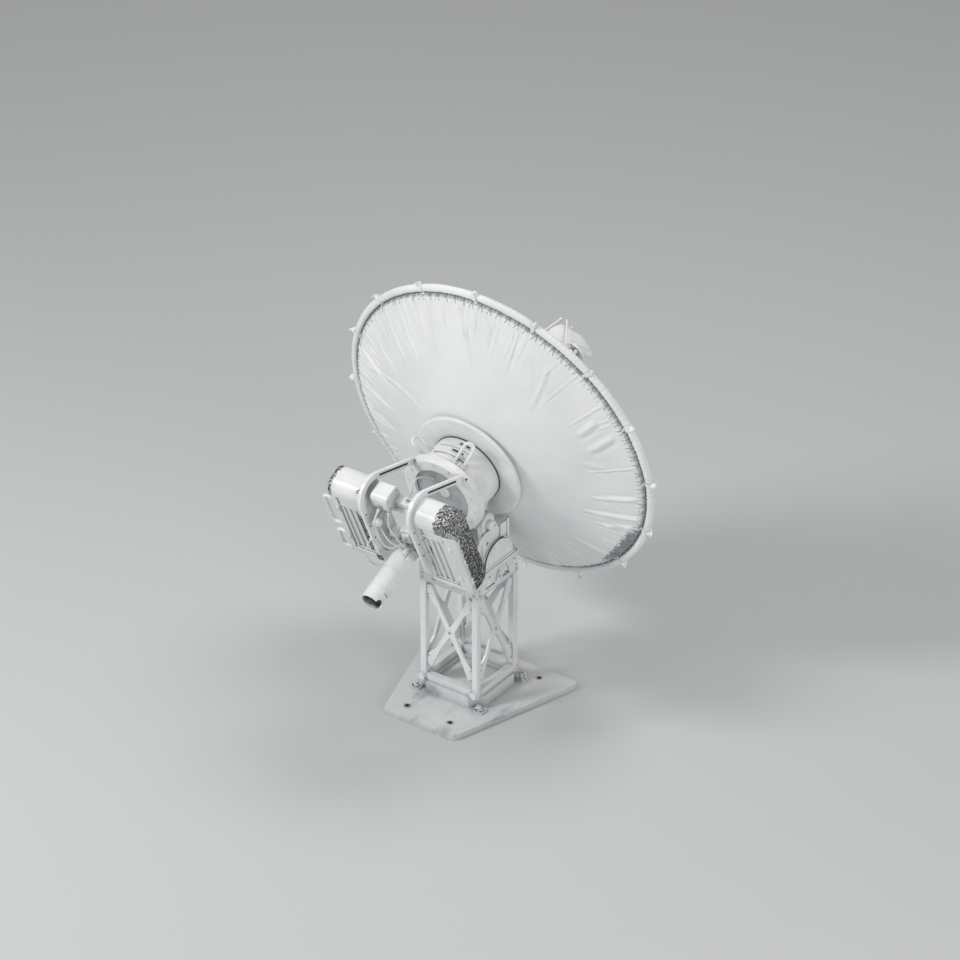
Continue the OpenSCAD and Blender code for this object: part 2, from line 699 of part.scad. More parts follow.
module box_side_panels() {
    color("dimgray") for (side = [-1, 1]) on_box(side)
        across_box(side > 0 ? box_w / 2 - panel_t : -box_w / 2, panel_t) box_outline();
}
// Outline of a side frame, seen along X in the boxes' own frame: a slotted bar leaves the
// rear ring on a tangent, bends over the top of the box and follows its rear edge down
module frame_outline() {
    half = frame_w / 2;
    r = frame_bend_r - half;
    low_r = 150 - half;
    back = box_depth / 2 + 30 - half;
    c = [back - r, box_len / 2 + 40 - half - r];
    low = [back - low_r, -box_len * 0.2];
    p = [ring_at[0] * cos(box_lean) - ring_at[1] * sin(box_lean),
         ring_at[0] * sin(box_lean) + ring_at[1] * cos(box_lean)];
    rise = atan2(c[1] - p[1], c[0] - p[0]) + asin(r / norm(c - p));
    n = [-sin(rise), cos(rise)];
    run = c + n * r - p;
    function side(e) = concat([p + n * e],
        [for (k = [0 : 10]) let (t = 90 - (90 + rise) * (1 - k / 10)) c + (r + e) * [sin(t), cos(t)]],
        [for (k = [0 : 5]) low + (low_r + e) * [cos(10 * k), -sin(10 * k)]]);
    outer = side(half);
    inner = side(-half);
    difference() {
        polygon(concat(outer, [for (i = [len(inner) - 1 : -1 : 0]) inner[i]]));
        polygon([p + run * 0.16 + n * 6, p + run * 0.92 + n * 6, p + run * 0.92 - n * 6, p + run * 0.16 - n * 6]);
        for (k = [0.28, 0.12, -0.04]) translate([back, box_len * k]) circle(6);
    }
}
module side_frame(side) {
    color("white") between_boxes() translate([side > 0 ? frame_x : -frame_x - frame_t, 0, 0])
        rotate([90, 0, 90]) linear_extrude(frame_t) frame_outline();
}
module box_handles() {
    reach = 64;
    corner = 26;
    bar = handle_d / 2;
    color("white") for (h = handle_places) on_box(1)
        translate([box_w / 2 + gap, box_depth * 0.42, box_len * h[0]]) {
            for (s = [-1, 1]) translate([0, 0, s * h[1]]) {
                rotate([0, 90, 0]) cylinder(h = reach - corner, r = bar);
                rotate([0, 90, 0]) cylinder(h = 6, r = bar + 4);
                translate([reach - corner, 0, -s * corner]) rotate([90, s > 0 ? 0 : 90, 0]) bend(corner, 90, bar);
            }
            translate([reach, 0, corner - h[1]]) cylinder(h = 2 * (h[1] - corner), r = bar);
        }
}
module cross_tubes() {
    color("white") between_boxes() for (p = [cross_top, cross_low])
        translate([0, p[0], p[1]]) along_x(-box_in + gap, box_in - gap, cross_r);
}
module tracking_unit() {
    h = 110;
    seat = cross_top[1] + cross_r + gap;
    color("white") between_boxes() {
        translate([20, cross_top[0] + 10, seat + h / 2]) rotate([90, 0, 90]) linear_extrude(100)
            rounded(118, h, 30);
        difference() {
            translate([-80, cross_top[0] - 40, seat]) cube([101, 50, 40]);
            translate([-48, cross_top[0] - 16, seat - 1]) cylinder(h = 60, r = 8);
        }
    }
}

// Elevating head: tail tube and cables
module on_tail() {
    between_boxes() translate([0, cross_low[0] + cross_r + gap, cross_low[1]]) rotate([-90, 0, 0]) children();
}
module tail_tube() {
    bore_r = tail_d / 2 - tail_wall;
    color("white") on_tail() difference() {
        cylinder(h = tail_len, d = tail_d);
        translate([0, 0, tail_len - tail_recess]) cylinder(h = tail_len, r = bore_r);
        translate([-tail_d, -6, tail_len]) rotate([0, 90, 0]) cylinder(h = tail_d / 2 + tail_wall + 8, r = 27);
        translate([-tail_d, -24, tail_len - 68]) cube([tail_d / 2 + 8, 40, 6]);
    }
}
module tail_insert() {
    color("dimgray") on_tail() translate([0, 0, tail_len - tail_recess]) {
        cylinder(h = 10, r = tail_d / 2 - tail_wall - gap);
        translate([0, 0, 10]) cylinder(h = 22, r = 24);
        for (a = [0 : 60 : 300]) rotate([0, 0, a]) translate([38, 0, 10]) bolt_head(6, 6);
    }
}
module cable_harness() {
    run = [cross_low[1] - 50, cross_top[1] + 40];
    back = cross_top[0] + cross_r + 6 + gap;
    color("white") between_boxes() for (k = [0 : 2]) translate([-118 + 15 * k, back, run[0]])
        cylinder(h = run[1] - run[0], r = 6);
}
module electronics_trays() {
    color("gray") for (side = [-1, 1]) on_box(side) {
        x0 = case_x0(side) + case_edge + case_ledge + 4;
        w = case_w - 2 * (case_edge + case_ledge + 4);
        y0 = -box_depth / 2 + case_floor;
        translate([x0, y0 + gap, -box_len / 2 + 110]) cube([w, 12, box_len - 230]);
        for (k = [0 : 3]) translate([x0 + 10, y0 + 12 + gap, -box_len / 2 + 125 + k * (box_len - 240) / 4])
            cube([w - 20, 46, (box_len - 240) / 4 - 26]);
    }
}

base_plate();
plinth();
plinth_bolts();
bottom_rails();
post(1, -1);  // post_front_left
post(-1, -1);  // post_front_right
post(1, 1);  // post_rear_left
post(-1, 1);  // post_rear_right
brace_at(0);  // brace_front
brace_at(180);  // brace_rear
brace_at(90);  // brace_left
brace_at(-90);  // brace_right
header_frame();
mast_deck();
azimuth_bearing();
azimuth_motor();
azimuth_pinion();
azimuth_spindle();
azimuth_gear();
turntable();
drive_housing();
housing_end_covers();
yoke_arm(1);  // yoke_arm_left
yoke_arm(-1);  // yoke_arm_right
elevation_bearings();
elevation_motor();
arm_conduit();
arm_guard();
elevation_pinion();
trunnion(1);  // trunnion_left
trunnion(-1);  // trunnion_right
elevation_gear();
hub_drum();
hub_flange();
rear_ring();
rear_disc();
drum_handle(1);  // drum_handle_left
drum_handle(-1);  // drum_handle_right
reflector();
back_ribs();
back_skin();
rim_tube();
rim_clips();
feed_struts();
feed_ring();
feed_horn();
feed_hood();
box_case(1);  // box_left_case
box_case(-1);  // box_right_case
box_covers();
box_side_panels();
side_frame(1);  // side_frame_left
side_frame(-1);  // side_frame_right
box_handles();
cross_tubes();
tracking_unit();
tail_tube();
cable_harness();
tail_insert();
electronics_trays();
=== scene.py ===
import json
import math
import random

import bmesh
import bpy
from mathutils import Matrix, Vector, noise


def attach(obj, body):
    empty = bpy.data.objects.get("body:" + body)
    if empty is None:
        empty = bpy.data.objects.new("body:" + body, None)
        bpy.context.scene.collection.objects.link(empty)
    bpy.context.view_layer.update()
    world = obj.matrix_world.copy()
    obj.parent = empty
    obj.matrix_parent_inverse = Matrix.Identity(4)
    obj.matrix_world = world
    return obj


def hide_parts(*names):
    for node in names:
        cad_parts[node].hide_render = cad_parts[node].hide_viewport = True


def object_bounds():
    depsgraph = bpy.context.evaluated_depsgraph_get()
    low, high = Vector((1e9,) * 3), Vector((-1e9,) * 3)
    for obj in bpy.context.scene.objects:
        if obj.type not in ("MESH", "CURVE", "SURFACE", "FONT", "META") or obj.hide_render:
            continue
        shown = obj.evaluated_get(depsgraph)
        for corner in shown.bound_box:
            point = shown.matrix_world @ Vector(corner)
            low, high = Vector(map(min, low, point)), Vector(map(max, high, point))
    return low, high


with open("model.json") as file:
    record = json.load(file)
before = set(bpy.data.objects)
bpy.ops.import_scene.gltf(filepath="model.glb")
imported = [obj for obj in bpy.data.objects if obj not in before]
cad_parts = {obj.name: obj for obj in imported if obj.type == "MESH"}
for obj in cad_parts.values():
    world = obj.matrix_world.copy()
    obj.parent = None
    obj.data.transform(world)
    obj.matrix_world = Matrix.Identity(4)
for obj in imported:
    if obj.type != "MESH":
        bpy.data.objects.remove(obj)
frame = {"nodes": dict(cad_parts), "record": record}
nodes = frame["nodes"]
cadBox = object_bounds()
noise.seed_set(7)                                         # the vector noise repeats each run

# Frames of the tilting head in metres and degrees, as in the part's source
head = {"pivot": (0, .060, 1.120), "rise": 14.2, "offset": .247, "rim": .435,
        "boxes": (0, .548, 1.277), "lean": 24, "tail": (0, -.0067, -.125)}
dishFrame = (Matrix.Translation(head["pivot"]) @ Matrix.Rotation(math.radians(90 - head["rise"]), 4, "X")
             @ Matrix.Translation((0, head["offset"], head["rim"])))     # origin in the rim plane
boxFrame = Matrix.Translation(head["boxes"]) @ Matrix.Rotation(math.radians(-head["lean"]), 4, "X")
tailFrame = boxFrame @ Matrix.Translation(head["tail"]) @ Matrix.Rotation(math.radians(-90), 4, "X")


def makeCamera(place, right, up, back, lens):
    data = bpy.data.cameras.new("camera")
    data.lens = lens
    data.sensor_width = 36
    data.clip_end = 200
    cam = bpy.data.objects.new("camera", data)
    cam.matrix_world = Matrix((right, up, back)).transposed().to_4x4()
    cam.location = place
    bpy.context.scene.collection.objects.link(cam)
    bpy.context.scene.camera = cam


makeCamera((-13.836, 19.311, 15.784), (-.8143, -.5804, 0), (.3021, -.4238, .8539), (-.4956, .6953, .5205), 200)
print("camera made")


# Shape helpers
def at(x=0, y=0, z=0, turn=None, axis="Z"):
    move = Matrix.Translation((x, y, z))
    return move if turn is None else move @ Matrix.Rotation(math.radians(turn), 4, axis)


def aimed(start, end):                                    # a frame at start whose Z points to end
    start, end = Vector(start), Vector(end)
    return Matrix.Translation(start) @ (end - start).to_track_quat("Z", "Y").to_matrix().to_4x4()


def roundEdges(bm, faces, width, segments=2, least=40):
    edges = {e for f in faces for e in f.edges if len(e.link_faces) == 2
             and e.calc_face_angle(0) > math.radians(least)}
    if edges and width:
        bmesh.ops.bevel(bm, geom=list(edges), offset=width, segments=segments, profile=.5, affect="EDGES",
                        material=-1, clamp_overlap=True)


def addRod(bm, radius, length, place, tip=None, sides=24, edge=0):      # stands on its place, along Z
    made = bmesh.ops.create_cone(bm, cap_ends=True, segments=sides, radius1=radius,
                                 radius2=radius if tip is None else tip, depth=length,
                                 matrix=place @ Matrix.Translation((0, 0, length / 2)))
    roundEdges(bm, {f for v in made["verts"] for f in v.link_faces}, edge)


def addBlock(bm, size, place, edge=0, segments=2):
    made = bmesh.ops.create_cube(bm, size=1, matrix=place @ Matrix.Diagonal((*size, 1)))
    roundEdges(bm, {f for v in made["verts"] for f in v.link_faces}, edge, segments)


def addLathe(bm, profile, place, angle=360, steps=64, closed=True):     # profile is (radius, height) pairs
    verts = [bm.verts.new((r, 0, z)) for r, z in profile]
    pairs = list(zip(verts, verts[1:] + verts[:1])) if closed else list(zip(verts, verts[1:]))
    edges = [bm.edges.new(p) for p in pairs]
    whole = angle == 360
    made = bmesh.ops.spin(bm, geom=verts + edges, cent=(0, 0, 0), axis=(0, 0, 1), dvec=(0, 0, 0),
                          angle=math.radians(angle), steps=steps, use_merge=whole)
    every = {v for e in edges for v in e.verts}
    seen, front = set(every), list(every)
    while front:
        for e in front.pop().link_edges:
            for v in e.verts:
                if v not in seen:
                    seen.add(v)
                    front.append(v)
    if not whole and closed:
        for loop in (verts, [v for v in made["geom_last"] if isinstance(v, bmesh.types.BMVert)]):
            ends = [e for e in bm.edges if e.verts[0] in loop and e.verts[1] in loop]
            bmesh.ops.contextual_create(bm, geom=ends)
    bmesh.ops.transform(bm, matrix=place, verts=list(seen))


def smoothLine(points, per=8):                            # a smooth line through all the points
    pts = [Vector(p) for p in points]
    pts = [2 * pts[0] - pts[1]] + pts + [2 * pts[-1] - pts[-2]]
    out = []
    for a, b, c, d in zip(pts, pts[1:], pts[2:], pts[3:]):
        for k in range(per):
            t = k / per
            out.append(.5 * (2 * b + (c - a) * t + (2 * a - 5 * b + 4 * c - d) * t * t
                             + (3 * b - a - 3 * c + d) * t ** 3))
    return out + [pts[-2]]


def lineCurve(name, points, radius, sides=4):
    data = bpy.data.curves.new(name, "CURVE")
    data.dimensions = "3D"
    data.bevel_depth = radius
    data.bevel_resolution = sides
    data.use_fill_caps = True
    spline = data.splines.new("POLY")
    spline.points.add(len(points) - 1)
    for point, place in zip(spline.points, points):
        point.co = (*place, 1)
    return bpy.data.objects.new(name, data)


def addTube(bm, points, radius, place=Matrix.Identity(4), per=8, sides=4):
    curve = lineCurve("line", [place @ p for p in smoothLine(points, per)], radius, sides)
    bpy.context.scene.collection.objects.link(curve)
    bpy.context.view_layer.update()
    mesh = bpy.data.meshes.new_from_object(curve.evaluated_get(bpy.context.evaluated_depsgraph_get()))
    bm.from_mesh(mesh)
    bpy.data.objects.remove(curve)
    bpy.data.meshes.remove(mesh)


def addPiece(name, bm, body, finish, sharp=35):
    bmesh.ops.remove_doubles(bm, verts=bm.verts, dist=1e-6)
    bmesh.ops.recalc_face_normals(bm, faces=bm.faces)
    for f in bm.faces:
        f.smooth = True
    for e in bm.edges:
        e.smooth = e.calc_face_angle(0) < math.radians(sharp)
    mesh = bpy.data.meshes.new(name)
    bm.to_mesh(mesh)
    bm.free()
    piece = bpy.data.objects.new(name, mesh)
    bpy.context.scene.collection.objects.link(piece)
    mesh.materials.append(finish)
    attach(piece, body)
    return piece


# Materials
def linear(hexColour):
    channels = (int(hexColour[i:i + 2], 16) / 255 for i in (0, 2, 4))
    return (*(c / 12.92 if c <= .04045 else ((c + .055) / 1.055) ** 2.4 for c in channels), 1)


def addNode(tree, kind, settings=None, links=None):
    made = tree.nodes.new("ShaderNode" + kind)
    for key, value in (settings or {}).items():
        if isinstance(key, int) or key in made.inputs:
            made.inputs[key].default_value = value
        else:
            setattr(made, key, value)
    for key, socket in (links or {}).items():
        tree.links.new(socket, made.inputs[key])
    return made


def newMaterial(name, **shader):
    material = bpy.data.materials.new(name)
    material.use_nodes = True
    tree = material.node_tree
    principled = tree.nodes["Principled BSDF"]
    for key, value in shader.items():
        principled.inputs[key.replace("_", " ")].default_value = value
    return material, tree, principled


def mixColour(tree, factor, a, b, blend="MIX"):
    settings, links = {"data_type": "RGBA", "blend_type": blend}, {}
    for key, value in ((0, factor), (6, a), (7, b)):
        (links if isinstance(value, bpy.types.NodeSocket) else settings)[key] = value
    return addNode(tree, "Mix", settings, links).outputs[2]


def spots(tree, coords, size, low, high, detail=3):       # soft patches of that size in mm, as a mask
    cloud = addNode(tree, "TexNoise", {"Scale": 1000 / size, "Detail": detail, "Roughness": .55},
                    {"Vector": coords})
    return addNode(tree, "MapRange", {"From Min": low, "From Max": high}, {0: cloud.outputs[0]}).outputs[0]


def boxCoords(tree, coords):                              # coordinates across and along the leaning boxes
    moved = addNode(tree, "Mapping", {"Location": [-d for d in head["boxes"]]}, {"Vector": coords})
    turned = addNode(tree, "Mapping", {"Rotation": (math.radians(head["lean"]), 0, 0)},
                     {"Vector": moved.outputs[0]})
    return turned.outputs[0], addNode(tree, "SeparateXYZ", {}, {0: turned.outputs[0]})


# Satin polyurethane enamel sprayed on welded aluminium: nearly white, faint orange peel, faint grey grime in
# patches and run-down streaks, and painted shade that darkens corners and crevices towards the same grey
def enamel(name, base, grimeAndShadeGrey, roughness, patch, edge=3, peel=.05, corner=.55, reach=60):
    material, tree, shader = newMaterial(name, IOR=1.47, Roughness=roughness)
    coords = addNode(tree, "TexCoord").outputs["Object"]
    broad = spots(tree, coords, patch, .42, .68)
    upright = addNode(tree, "Mapping", {"Scale": (1, 1, .12)}, {"Vector": coords}).outputs[0]
    thin = spots(tree, upright, 26, .5, .74)              # run-down streaks
    greyMarks = addNode(tree, "Math", {"operation": "MULTIPLY_ADD", 1: .5}, {0: thin, 2: broad}).outputs[0]
    faint = addNode(tree, "Math", {"operation": "MULTIPLY", 1: .16, "use_clamp": True}, {0: greyMarks}).outputs[0]
    shade = mixColour(tree, faint, linear(base), linear(grimeAndShadeGrey))
    # painted shade: ambient occlusion darkens the colour in corners and crevices, by up to corner, within reach
    # mm
    near = addNode(tree, "AmbientOcclusion", {"samples": 4, "Distance": reach / 1000})
    dark = addNode(tree, "MapRange", {"From Min": .15, "From Max": .8, "To Min": corner, "To Max": 0},
                   {0: near.outputs["AO"]}).outputs[0]
    shade = mixColour(tree, dark, shade, linear(grimeAndShadeGrey), "MULTIPLY")
    tree.links.new(shade, shader.inputs["Base Color"])
    gloss = addNode(tree, "MapRange", {"To Min": roughness - .07, "To Max": roughness + .13},
                    {0: greyMarks}).outputs[0]
    tree.links.new(gloss, shader.inputs["Roughness"])
    skin = addNode(tree, "TexNoise", {"Scale": 1000 / 14, "Detail": 2}, {"Vector": coords})   # 14 mm peel
    soft = addNode(tree, "Bevel", {"samples": 4, "Radius": edge / 1000})
    bump = addNode(tree, "Bump", {"Strength": peel, "Distance": .002}, {"Height": skin.outputs[0],
                                                                        "Normal": soft.outputs[0]})
    tree.links.new(bump.outputs[0], shader.inputs["Normal"])
    return material, tree, shader, coords, shade


mastEnamel = enamel("satinEnamelMast", "E4E5E6", "7F858B", .40, 260, corner=.8, reach=70)[0]
headEnamel = enamel("satinEnamelHead", "EAEBEB", "7E848A", .34, 210, corner=.85, reach=75)[0]
dishEnamel = enamel("smoothEnamelReflector", "EAEBEB", "B9BEC2", .3, 500, peel=.02)[0]


# The base plate's enamel, darker grey in long soft noise blotches and a fine grey speckle
def blotchedEnamel():
    material, tree, shader, coords, shade = enamel("blotchedEnamelPlate", "E0E1E2", "70767C", .30, 330,
                                                   reach=110, corner=.7)
    long = addNode(tree, "Mapping", {"Scale": (1, .45, 1), "Rotation": (0, 0, .5)},
                   {"Vector": coords}).outputs[0]
    blotch = spots(tree, long, 150, .56, .72, 5)
    grain = spots(tree, coords, 9, .3, .7)
    amount = addNode(tree, "Math", {"operation": "MULTIPLY", 1: .62}, {0: blotch}).outputs[0]
    amount = addNode(tree, "Math", {"operation": "MULTIPLY_ADD", 1: .12}, {0: grain, 2: amount}).outputs[0]
    tree.links.new(mixColour(tree, amount, shade, linear("6B7076")), shader.inputs["Base Color"])
    return material


plateEnamel = blotchedEnamel()


# Black anodised radiator foil, crinkled: near black with painted highlights as bright glints, thinner
# downwards, and painted shade along the crinkles' creases. Where it is masked, the rest of the case is white
# enamel and the foil ends in a torn line
def crinkledFoil(name, masked):
    material, tree, shader = newMaterial(name, IOR=1.5, Roughness=.42)
    coords = addNode(tree, "TexCoord").outputs["Object"]
    leaned, part = boxCoords(tree, coords)
    cloud = addNode(tree, "TexNoise", {"Scale": 1000 / 11, "Detail": 3, "Roughness": .6, "Distortion": .8},
                    {"Vector": leaned})
    # painted shade: the voronoi cell edges darken the foil along its crinkle creases
    grid = addNode(tree, "TexVoronoi", {"Scale": 1000 / 13, "feature": "DISTANCE_TO_EDGE"}, {"Vector": leaned})
    # painted highlight: where the noise passes a threshold that is lower at the top, the foil turns to bright
    # glints, more of them at the top
    high = addNode(tree, "MapRange", {"From Min": -.1, "From Max": .25, "To Min": .53, "To Max": .47},
                   {0: part.outputs[2]}).outputs[0]
    over = addNode(tree, "Math", {"operation": "SUBTRACT"}, {0: cloud.outputs[0], 1: high}).outputs[0]
    paintedGlint = addNode(tree, "MapRange", {"From Min": 0, "From Max": .10}, {0: over}).outputs[0]
    creaseShade = addNode(tree, "MapRange", {"From Min": .02, "From Max": .14, "To Min": .25, "To Max": 1},
                    {0: grid.outputs[0]}).outputs[0]
    foil = mixColour(tree, paintedGlint, linear("24272B"), linear("DCDEDF"))
    foil = mixColour(tree, creaseShade, linear("0C0D0F"), foil)
    height = cloud.outputs[0]
    if masked:
        left = addNode(tree, "MapRange", {"From Min": -.01, "From Max": .01, "To Min": masked["right"],
                                          "To Max": masked["left"]}, {0: part.outputs[0]}).outputs[0]
        side = addNode(tree, "Math", {"operation": "ABSOLUTE"}, {0: part.outputs[0]}).outputs[0]
        torn = addNode(tree, "TexNoise", {"Scale": 1000 / 30, "Detail": 4, "Roughness": .7}, {"Vector": leaned})
        wave = addNode(tree, "MapRange", {"To Min": -.03, "To Max": .03}, {0: torn.outputs[0]}).outputs[0]
        start = addNode(tree, "Math", {"operation": "ADD"}, {0: left, 1: wave}).outputs[0]
        past = addNode(tree, "Math", {"operation": "SUBTRACT"}, {0: side, 1: start}).outputs[0]
        outer = addNode(tree, "MapRange", {"From Min": 0, "From Max": .004}, {0: past}).outputs[0]
        back = addNode(tree, "MapRange", {"From Min": .13, "From Max": .235, "To Min": .026, "To Max": .10},
                       {0: part.outputs[2]}).outputs[0]
        back = addNode(tree, "Math", {"operation": "MULTIPLY_ADD", 1: .4}, {0: wave, 2: back}).outputs[0]
        before = addNode(tree, "Math", {"operation": "SUBTRACT"}, {0: back, 1: part.outputs[1]}).outputs[0]
        front = addNode(tree, "MapRange", {"From Min": 0, "From Max": .003}, {0: before}).outputs[0]
        mask = addNode(tree, "Math", {"operation": "MULTIPLY"}, {0: outer, 1: front}).outputs[0]
        paint = spots(tree, coords, 210, .42, .68)
        white = mixColour(tree, addNode(tree, "Math", {"operation": "MULTIPLY", 1: .3}, {0: paint}).outputs[0],
                          linear("E6E7E7"), linear("9DA2A6"))
        foil = mixColour(tree, mask, white, foil)
        height = addNode(tree, "Math", {"operation": "MULTIPLY"}, {0: height, 1: mask}).outputs[0]
    tree.links.new(foil, shader.inputs["Base Color"])
    soft = addNode(tree, "Bevel", {"samples": 4, "Radius": .004})
    bump = addNode(tree, "Bump", {"Strength": .8, "Distance": .004},
                   {"Height": height, "Normal": soft.outputs[0]})
    tree.links.new(bump.outputs[0], shader.inputs["Normal"])
    return material


foilStrip = crinkledFoil("crinkledBlackFoil", None)
foilCase = crinkledFoil("enamelCaseWithFoil", {"right": .292, "left": .352})


# Coated white glass cloth: matt, a little sheen, plain weave of 0.6 mm drawn at 7 mm so that it shows
def glassCloth(name, base, shadow, weave, bumpAmount):
    material, tree, shader = newMaterial(name, IOR=1.45, Roughness=.72, Sheen_Weight=.12, Sheen_Roughness=.5)
    coords = addNode(tree, "TexCoord").outputs["Object"]
    broad = spots(tree, coords, 320, .4, .72)
    shade = mixColour(tree, addNode(tree, "Math", {"operation": "MULTIPLY", 1: .28}, {0: broad}).outputs[0],
                      linear(base), linear(shadow))
    # painted shade: this attribute darkens the cloth where it turns down into the groove between cover and hem
    grooveShade = addNode(tree, "Attribute", {"attribute_name": "grooveShade"}).outputs["Fac"]
    shade = mixColour(tree, grooveShade, shade, linear("6A7076"))
    # grey speckle where the patch attribute is high
    greyMarks = addNode(tree, "Attribute", {"attribute_name": "greyMarks"}).outputs["Fac"]
    speck = addNode(tree, "TexNoise", {"Scale": 1000 / 16, "Detail": 5, "Roughness": .75}, {"Vector": coords})
    greySpeckle = addNode(tree, "Math", {"operation": "ADD"}, {0: speck.outputs[0], 1: greyMarks}).outputs[0]
    greySpeckle = addNode(tree, "MapRange", {"From Min": .98, "From Max": 1.1}, {0: greySpeckle}).outputs[0]
    shade = mixColour(tree, greySpeckle, shade, linear("7F858A"))
    tree.links.new(shade, shader.inputs["Base Color"])
    warp = addNode(tree, "TexWave", {"Scale": 1000 / weave / 6.28, "bands_direction": "X", "Distortion": .6},
                   {"Vector": coords})
    weft = addNode(tree, "TexWave", {"Scale": 1000 / weave / 6.28, "bands_direction": "Z", "Distortion": .6},
                   {"Vector": coords})
    cloth = addNode(tree, "Math", {"operation": "MAXIMUM"},
                    {0: warp.outputs[1], 1: weft.outputs[1]}).outputs[0]
    crease = addNode(tree, "TexNoise", {"Scale": 1000 / 55, "Detail": 5, "Roughness": .6}, {"Vector": coords})
    both = addNode(tree, "Math", {"operation": "MULTIPLY_ADD", 1: .12},
                   {0: cloth, 2: crease.outputs[0]}).outputs[0]
    bump = addNode(tree, "Bump", {"Strength": bumpAmount, "Distance": .006}, {"Height": both})
    tree.links.new(bump.outputs[0], shader.inputs["Normal"])
    return material


coverCloth = glassCloth("coatedGlassCloth", "E7E8E8", "C3C8CC", 7, .16)
hemCloth = glassCloth("foldedHemCloth", "E9EAEA", "AEB4B9", 5, .3)
hoodCloth = glassCloth("feedHoodCloth", "E6E7E7", "BCC1C5", 6, .2)


# Hobbed and turned steel: grey, fine tool lines round the axis, drawn 3 mm apart
def turnedSteel():
    material, tree, shader = newMaterial("turnedSteel", Metallic=1, Roughness=.34)
    coords = addNode(tree, "TexCoord").outputs["Object"]
    lines = addNode(tree, "TexWave", {"Scale": 1000 / 3 / 6.28, "bands_direction": "Z", "Distortion": 1.5},
                    {"Vector": coords})
    stain = spots(tree, coords, 60, .4, .7)
    tree.links.new(mixColour(tree, stain, linear("9A9DA1"), linear("6E7074")), shader.inputs["Base Color"])
    gloss = addNode(tree, "MapRange", {"To Min": .28, "To Max": .46}, {0: stain}).outputs[0]
    tree.links.new(gloss, shader.inputs["Roughness"])
    bump = addNode(tree, "Bump", {"Strength": .12, "Distance": .001}, {"Height": lines.outputs[1]})
    tree.links.new(bump.outputs[0], shader.inputs["Normal"])
    return material


# A coat with a grain: powder coat, anodised plate, moulded rubber or a plastic cable jacket
def grained(name, base, second, roughness, grain, bumpAmount, **shader):
    material, tree, principled = newMaterial(name, Roughness=roughness, **shader)
    coords = addNode(tree, "TexCoord").outputs["Object"]
    broad = spots(tree, coords, 90, .38, .7)
    tree.links.new(mixColour(tree, broad, linear(base), linear(second)), principled.inputs["Base Color"])
    fine = addNode(tree, "TexNoise", {"Scale": 1000 / grain, "Detail": 3}, {"Vector": coords})
    gloss = addNode(tree, "MapRange", {"To Min": roughness - .08, "To Max": roughness + .08},
                    {0: fine.outputs[0]}).outputs[0]
    tree.links.new(gloss, principled.inputs["Roughness"])
    bump = addNode(tree, "Bump", {"Strength": bumpAmount, "Distance": .001}, {"Height": fine.outputs[0]})
    tree.links.new(bump.outputs[0], principled.inputs["Normal"])
    return material


bearingSteel = turnedSteel()
powderCoat = grained("darkPowderCoat", "3A3D42", "2C2F33", .55, 5, .35)           # 1 mm grain, drawn at 5 mm
greyAnodised = grained("greyAnodisedPlate", "C3C6C8", "AFB3B6", .45, 8, .12, Metallic=.35)
feedMetal = grained("machinedAluminium", "C6C8CA", "AEB1B4", .3, 6, .1, Metallic=1)
# also the black strips and discs that paint shade in the hub's gap, slots and holes
blackRubberAndShade = grained("blackSealRubberAndShade", "0B0C0E", "15171A", .6, 5, .3)
cableJacket = grained("whiteCableJacket", "D9DADA", "C4C6C8", .5, 7, .2, IOR=1.5)
lacingCord = grained("greyLacingCord", "9FA4A9", "878C92", .7, 4, .3)
zincPlate = grained("zincPlatedScrew", "C9CCCE", "A2A6AA", .3, 4, .15, Metallic=1)

finishOfSlot = {"mast_enamel": mastEnamel, "bearing_steel": bearingSteel, "motor_case": powderCoat,
                "head_enamel": headEnamel, "grey_anodised": greyAnodised, "reflector_enamel": dishEnamel,
                "blanket_cloth": coverCloth, "rim_cloth": hemCloth, "feed_metal": feedMetal,
                "fin_panel": foilCase, "cable_jacket": cableJacket}
for part in frame["record"]["subparts"]:
    slots = nodes[part["node"]].data.materials
    slots.clear()
    slots.append(finishOfSlot[part["material_slot"]])
for name, finish in (("base_plate", plateEnamel), ("plinth", plateEnamel), ("box_left_case", foilCase),
                     ("box_right_case", foilCase)):
    nodes[name].data.materials[0] = finish
print("materials made")


# Soft back cover
cover = {"inner": .281, "edge": .886, "start": -.2897, "slope": .4065, "rings": 46, "steps": 960,
         "thick": .003, "flat": (1.79, 1.79), "area": 2.46}
# each fold: radius and angle at its start, the same at its end, height and half width in mm
folds = [(.690, 64, .89, 65, 7, 9), (.615, 70.8, .885, 70.4, 8, 9), (.729, 77.8, .89, 77.6, 6, 7),
         (.573, 92, .893, 84.7, 8, 9), (.728, 104.2, .87, 95.1, 7, 9), (.627, 44.5, .86, 47, 8, 10),
         (.618, 54.7, .875, 54.5, 9, 9), (.622, 31.5, .86, 33.5, 8, 10), (.403, 34.2, .78, 15.5, 6, 12),
         (.590, 3, .84, 1.8, 9, 12), (.642, 124, .804, 116, 4, 12), (.570, 130.2, .803, 124.2, 6, 13),
         (.690, 153.4, .800, 150.8, 11, 17), (.700, 162.2, .835, 158.8, 11, 18), (.64, 168, .74, 172, 5, 18),
         (.670, 189.5, .860, 187, 10, 12), (.641, 199.9, .885, 197, 12, 11), (.700, 207, .880, 202, 9, 10),
         (.674, 252.7, .84, 249, 5, 12), (.62, 18, .86, 20, 7, 9), (.60, 347, .87, 350, 7, 11),
         (.66, 110, .88, 108, 4, 8), (.70, 226, .87, 224, 6, 10), (.62, 300, .86, 303, 6, 12)]


def coverFolds(seed):
    draw = random.Random(seed)
    made = list(folds)
    for _ in range(150):                                  # small gathers that start at the hem
        angle = draw.uniform(-15, 112) if draw.random() < .62 else draw.uniform(0, 360)
        end = draw.uniform(.872, .893)
        made.append((end - draw.uniform(.05, .24), angle + draw.gauss(0, .6), end, angle,
                     draw.uniform(2, 5.5), draw.uniform(4, 8)))
    return made


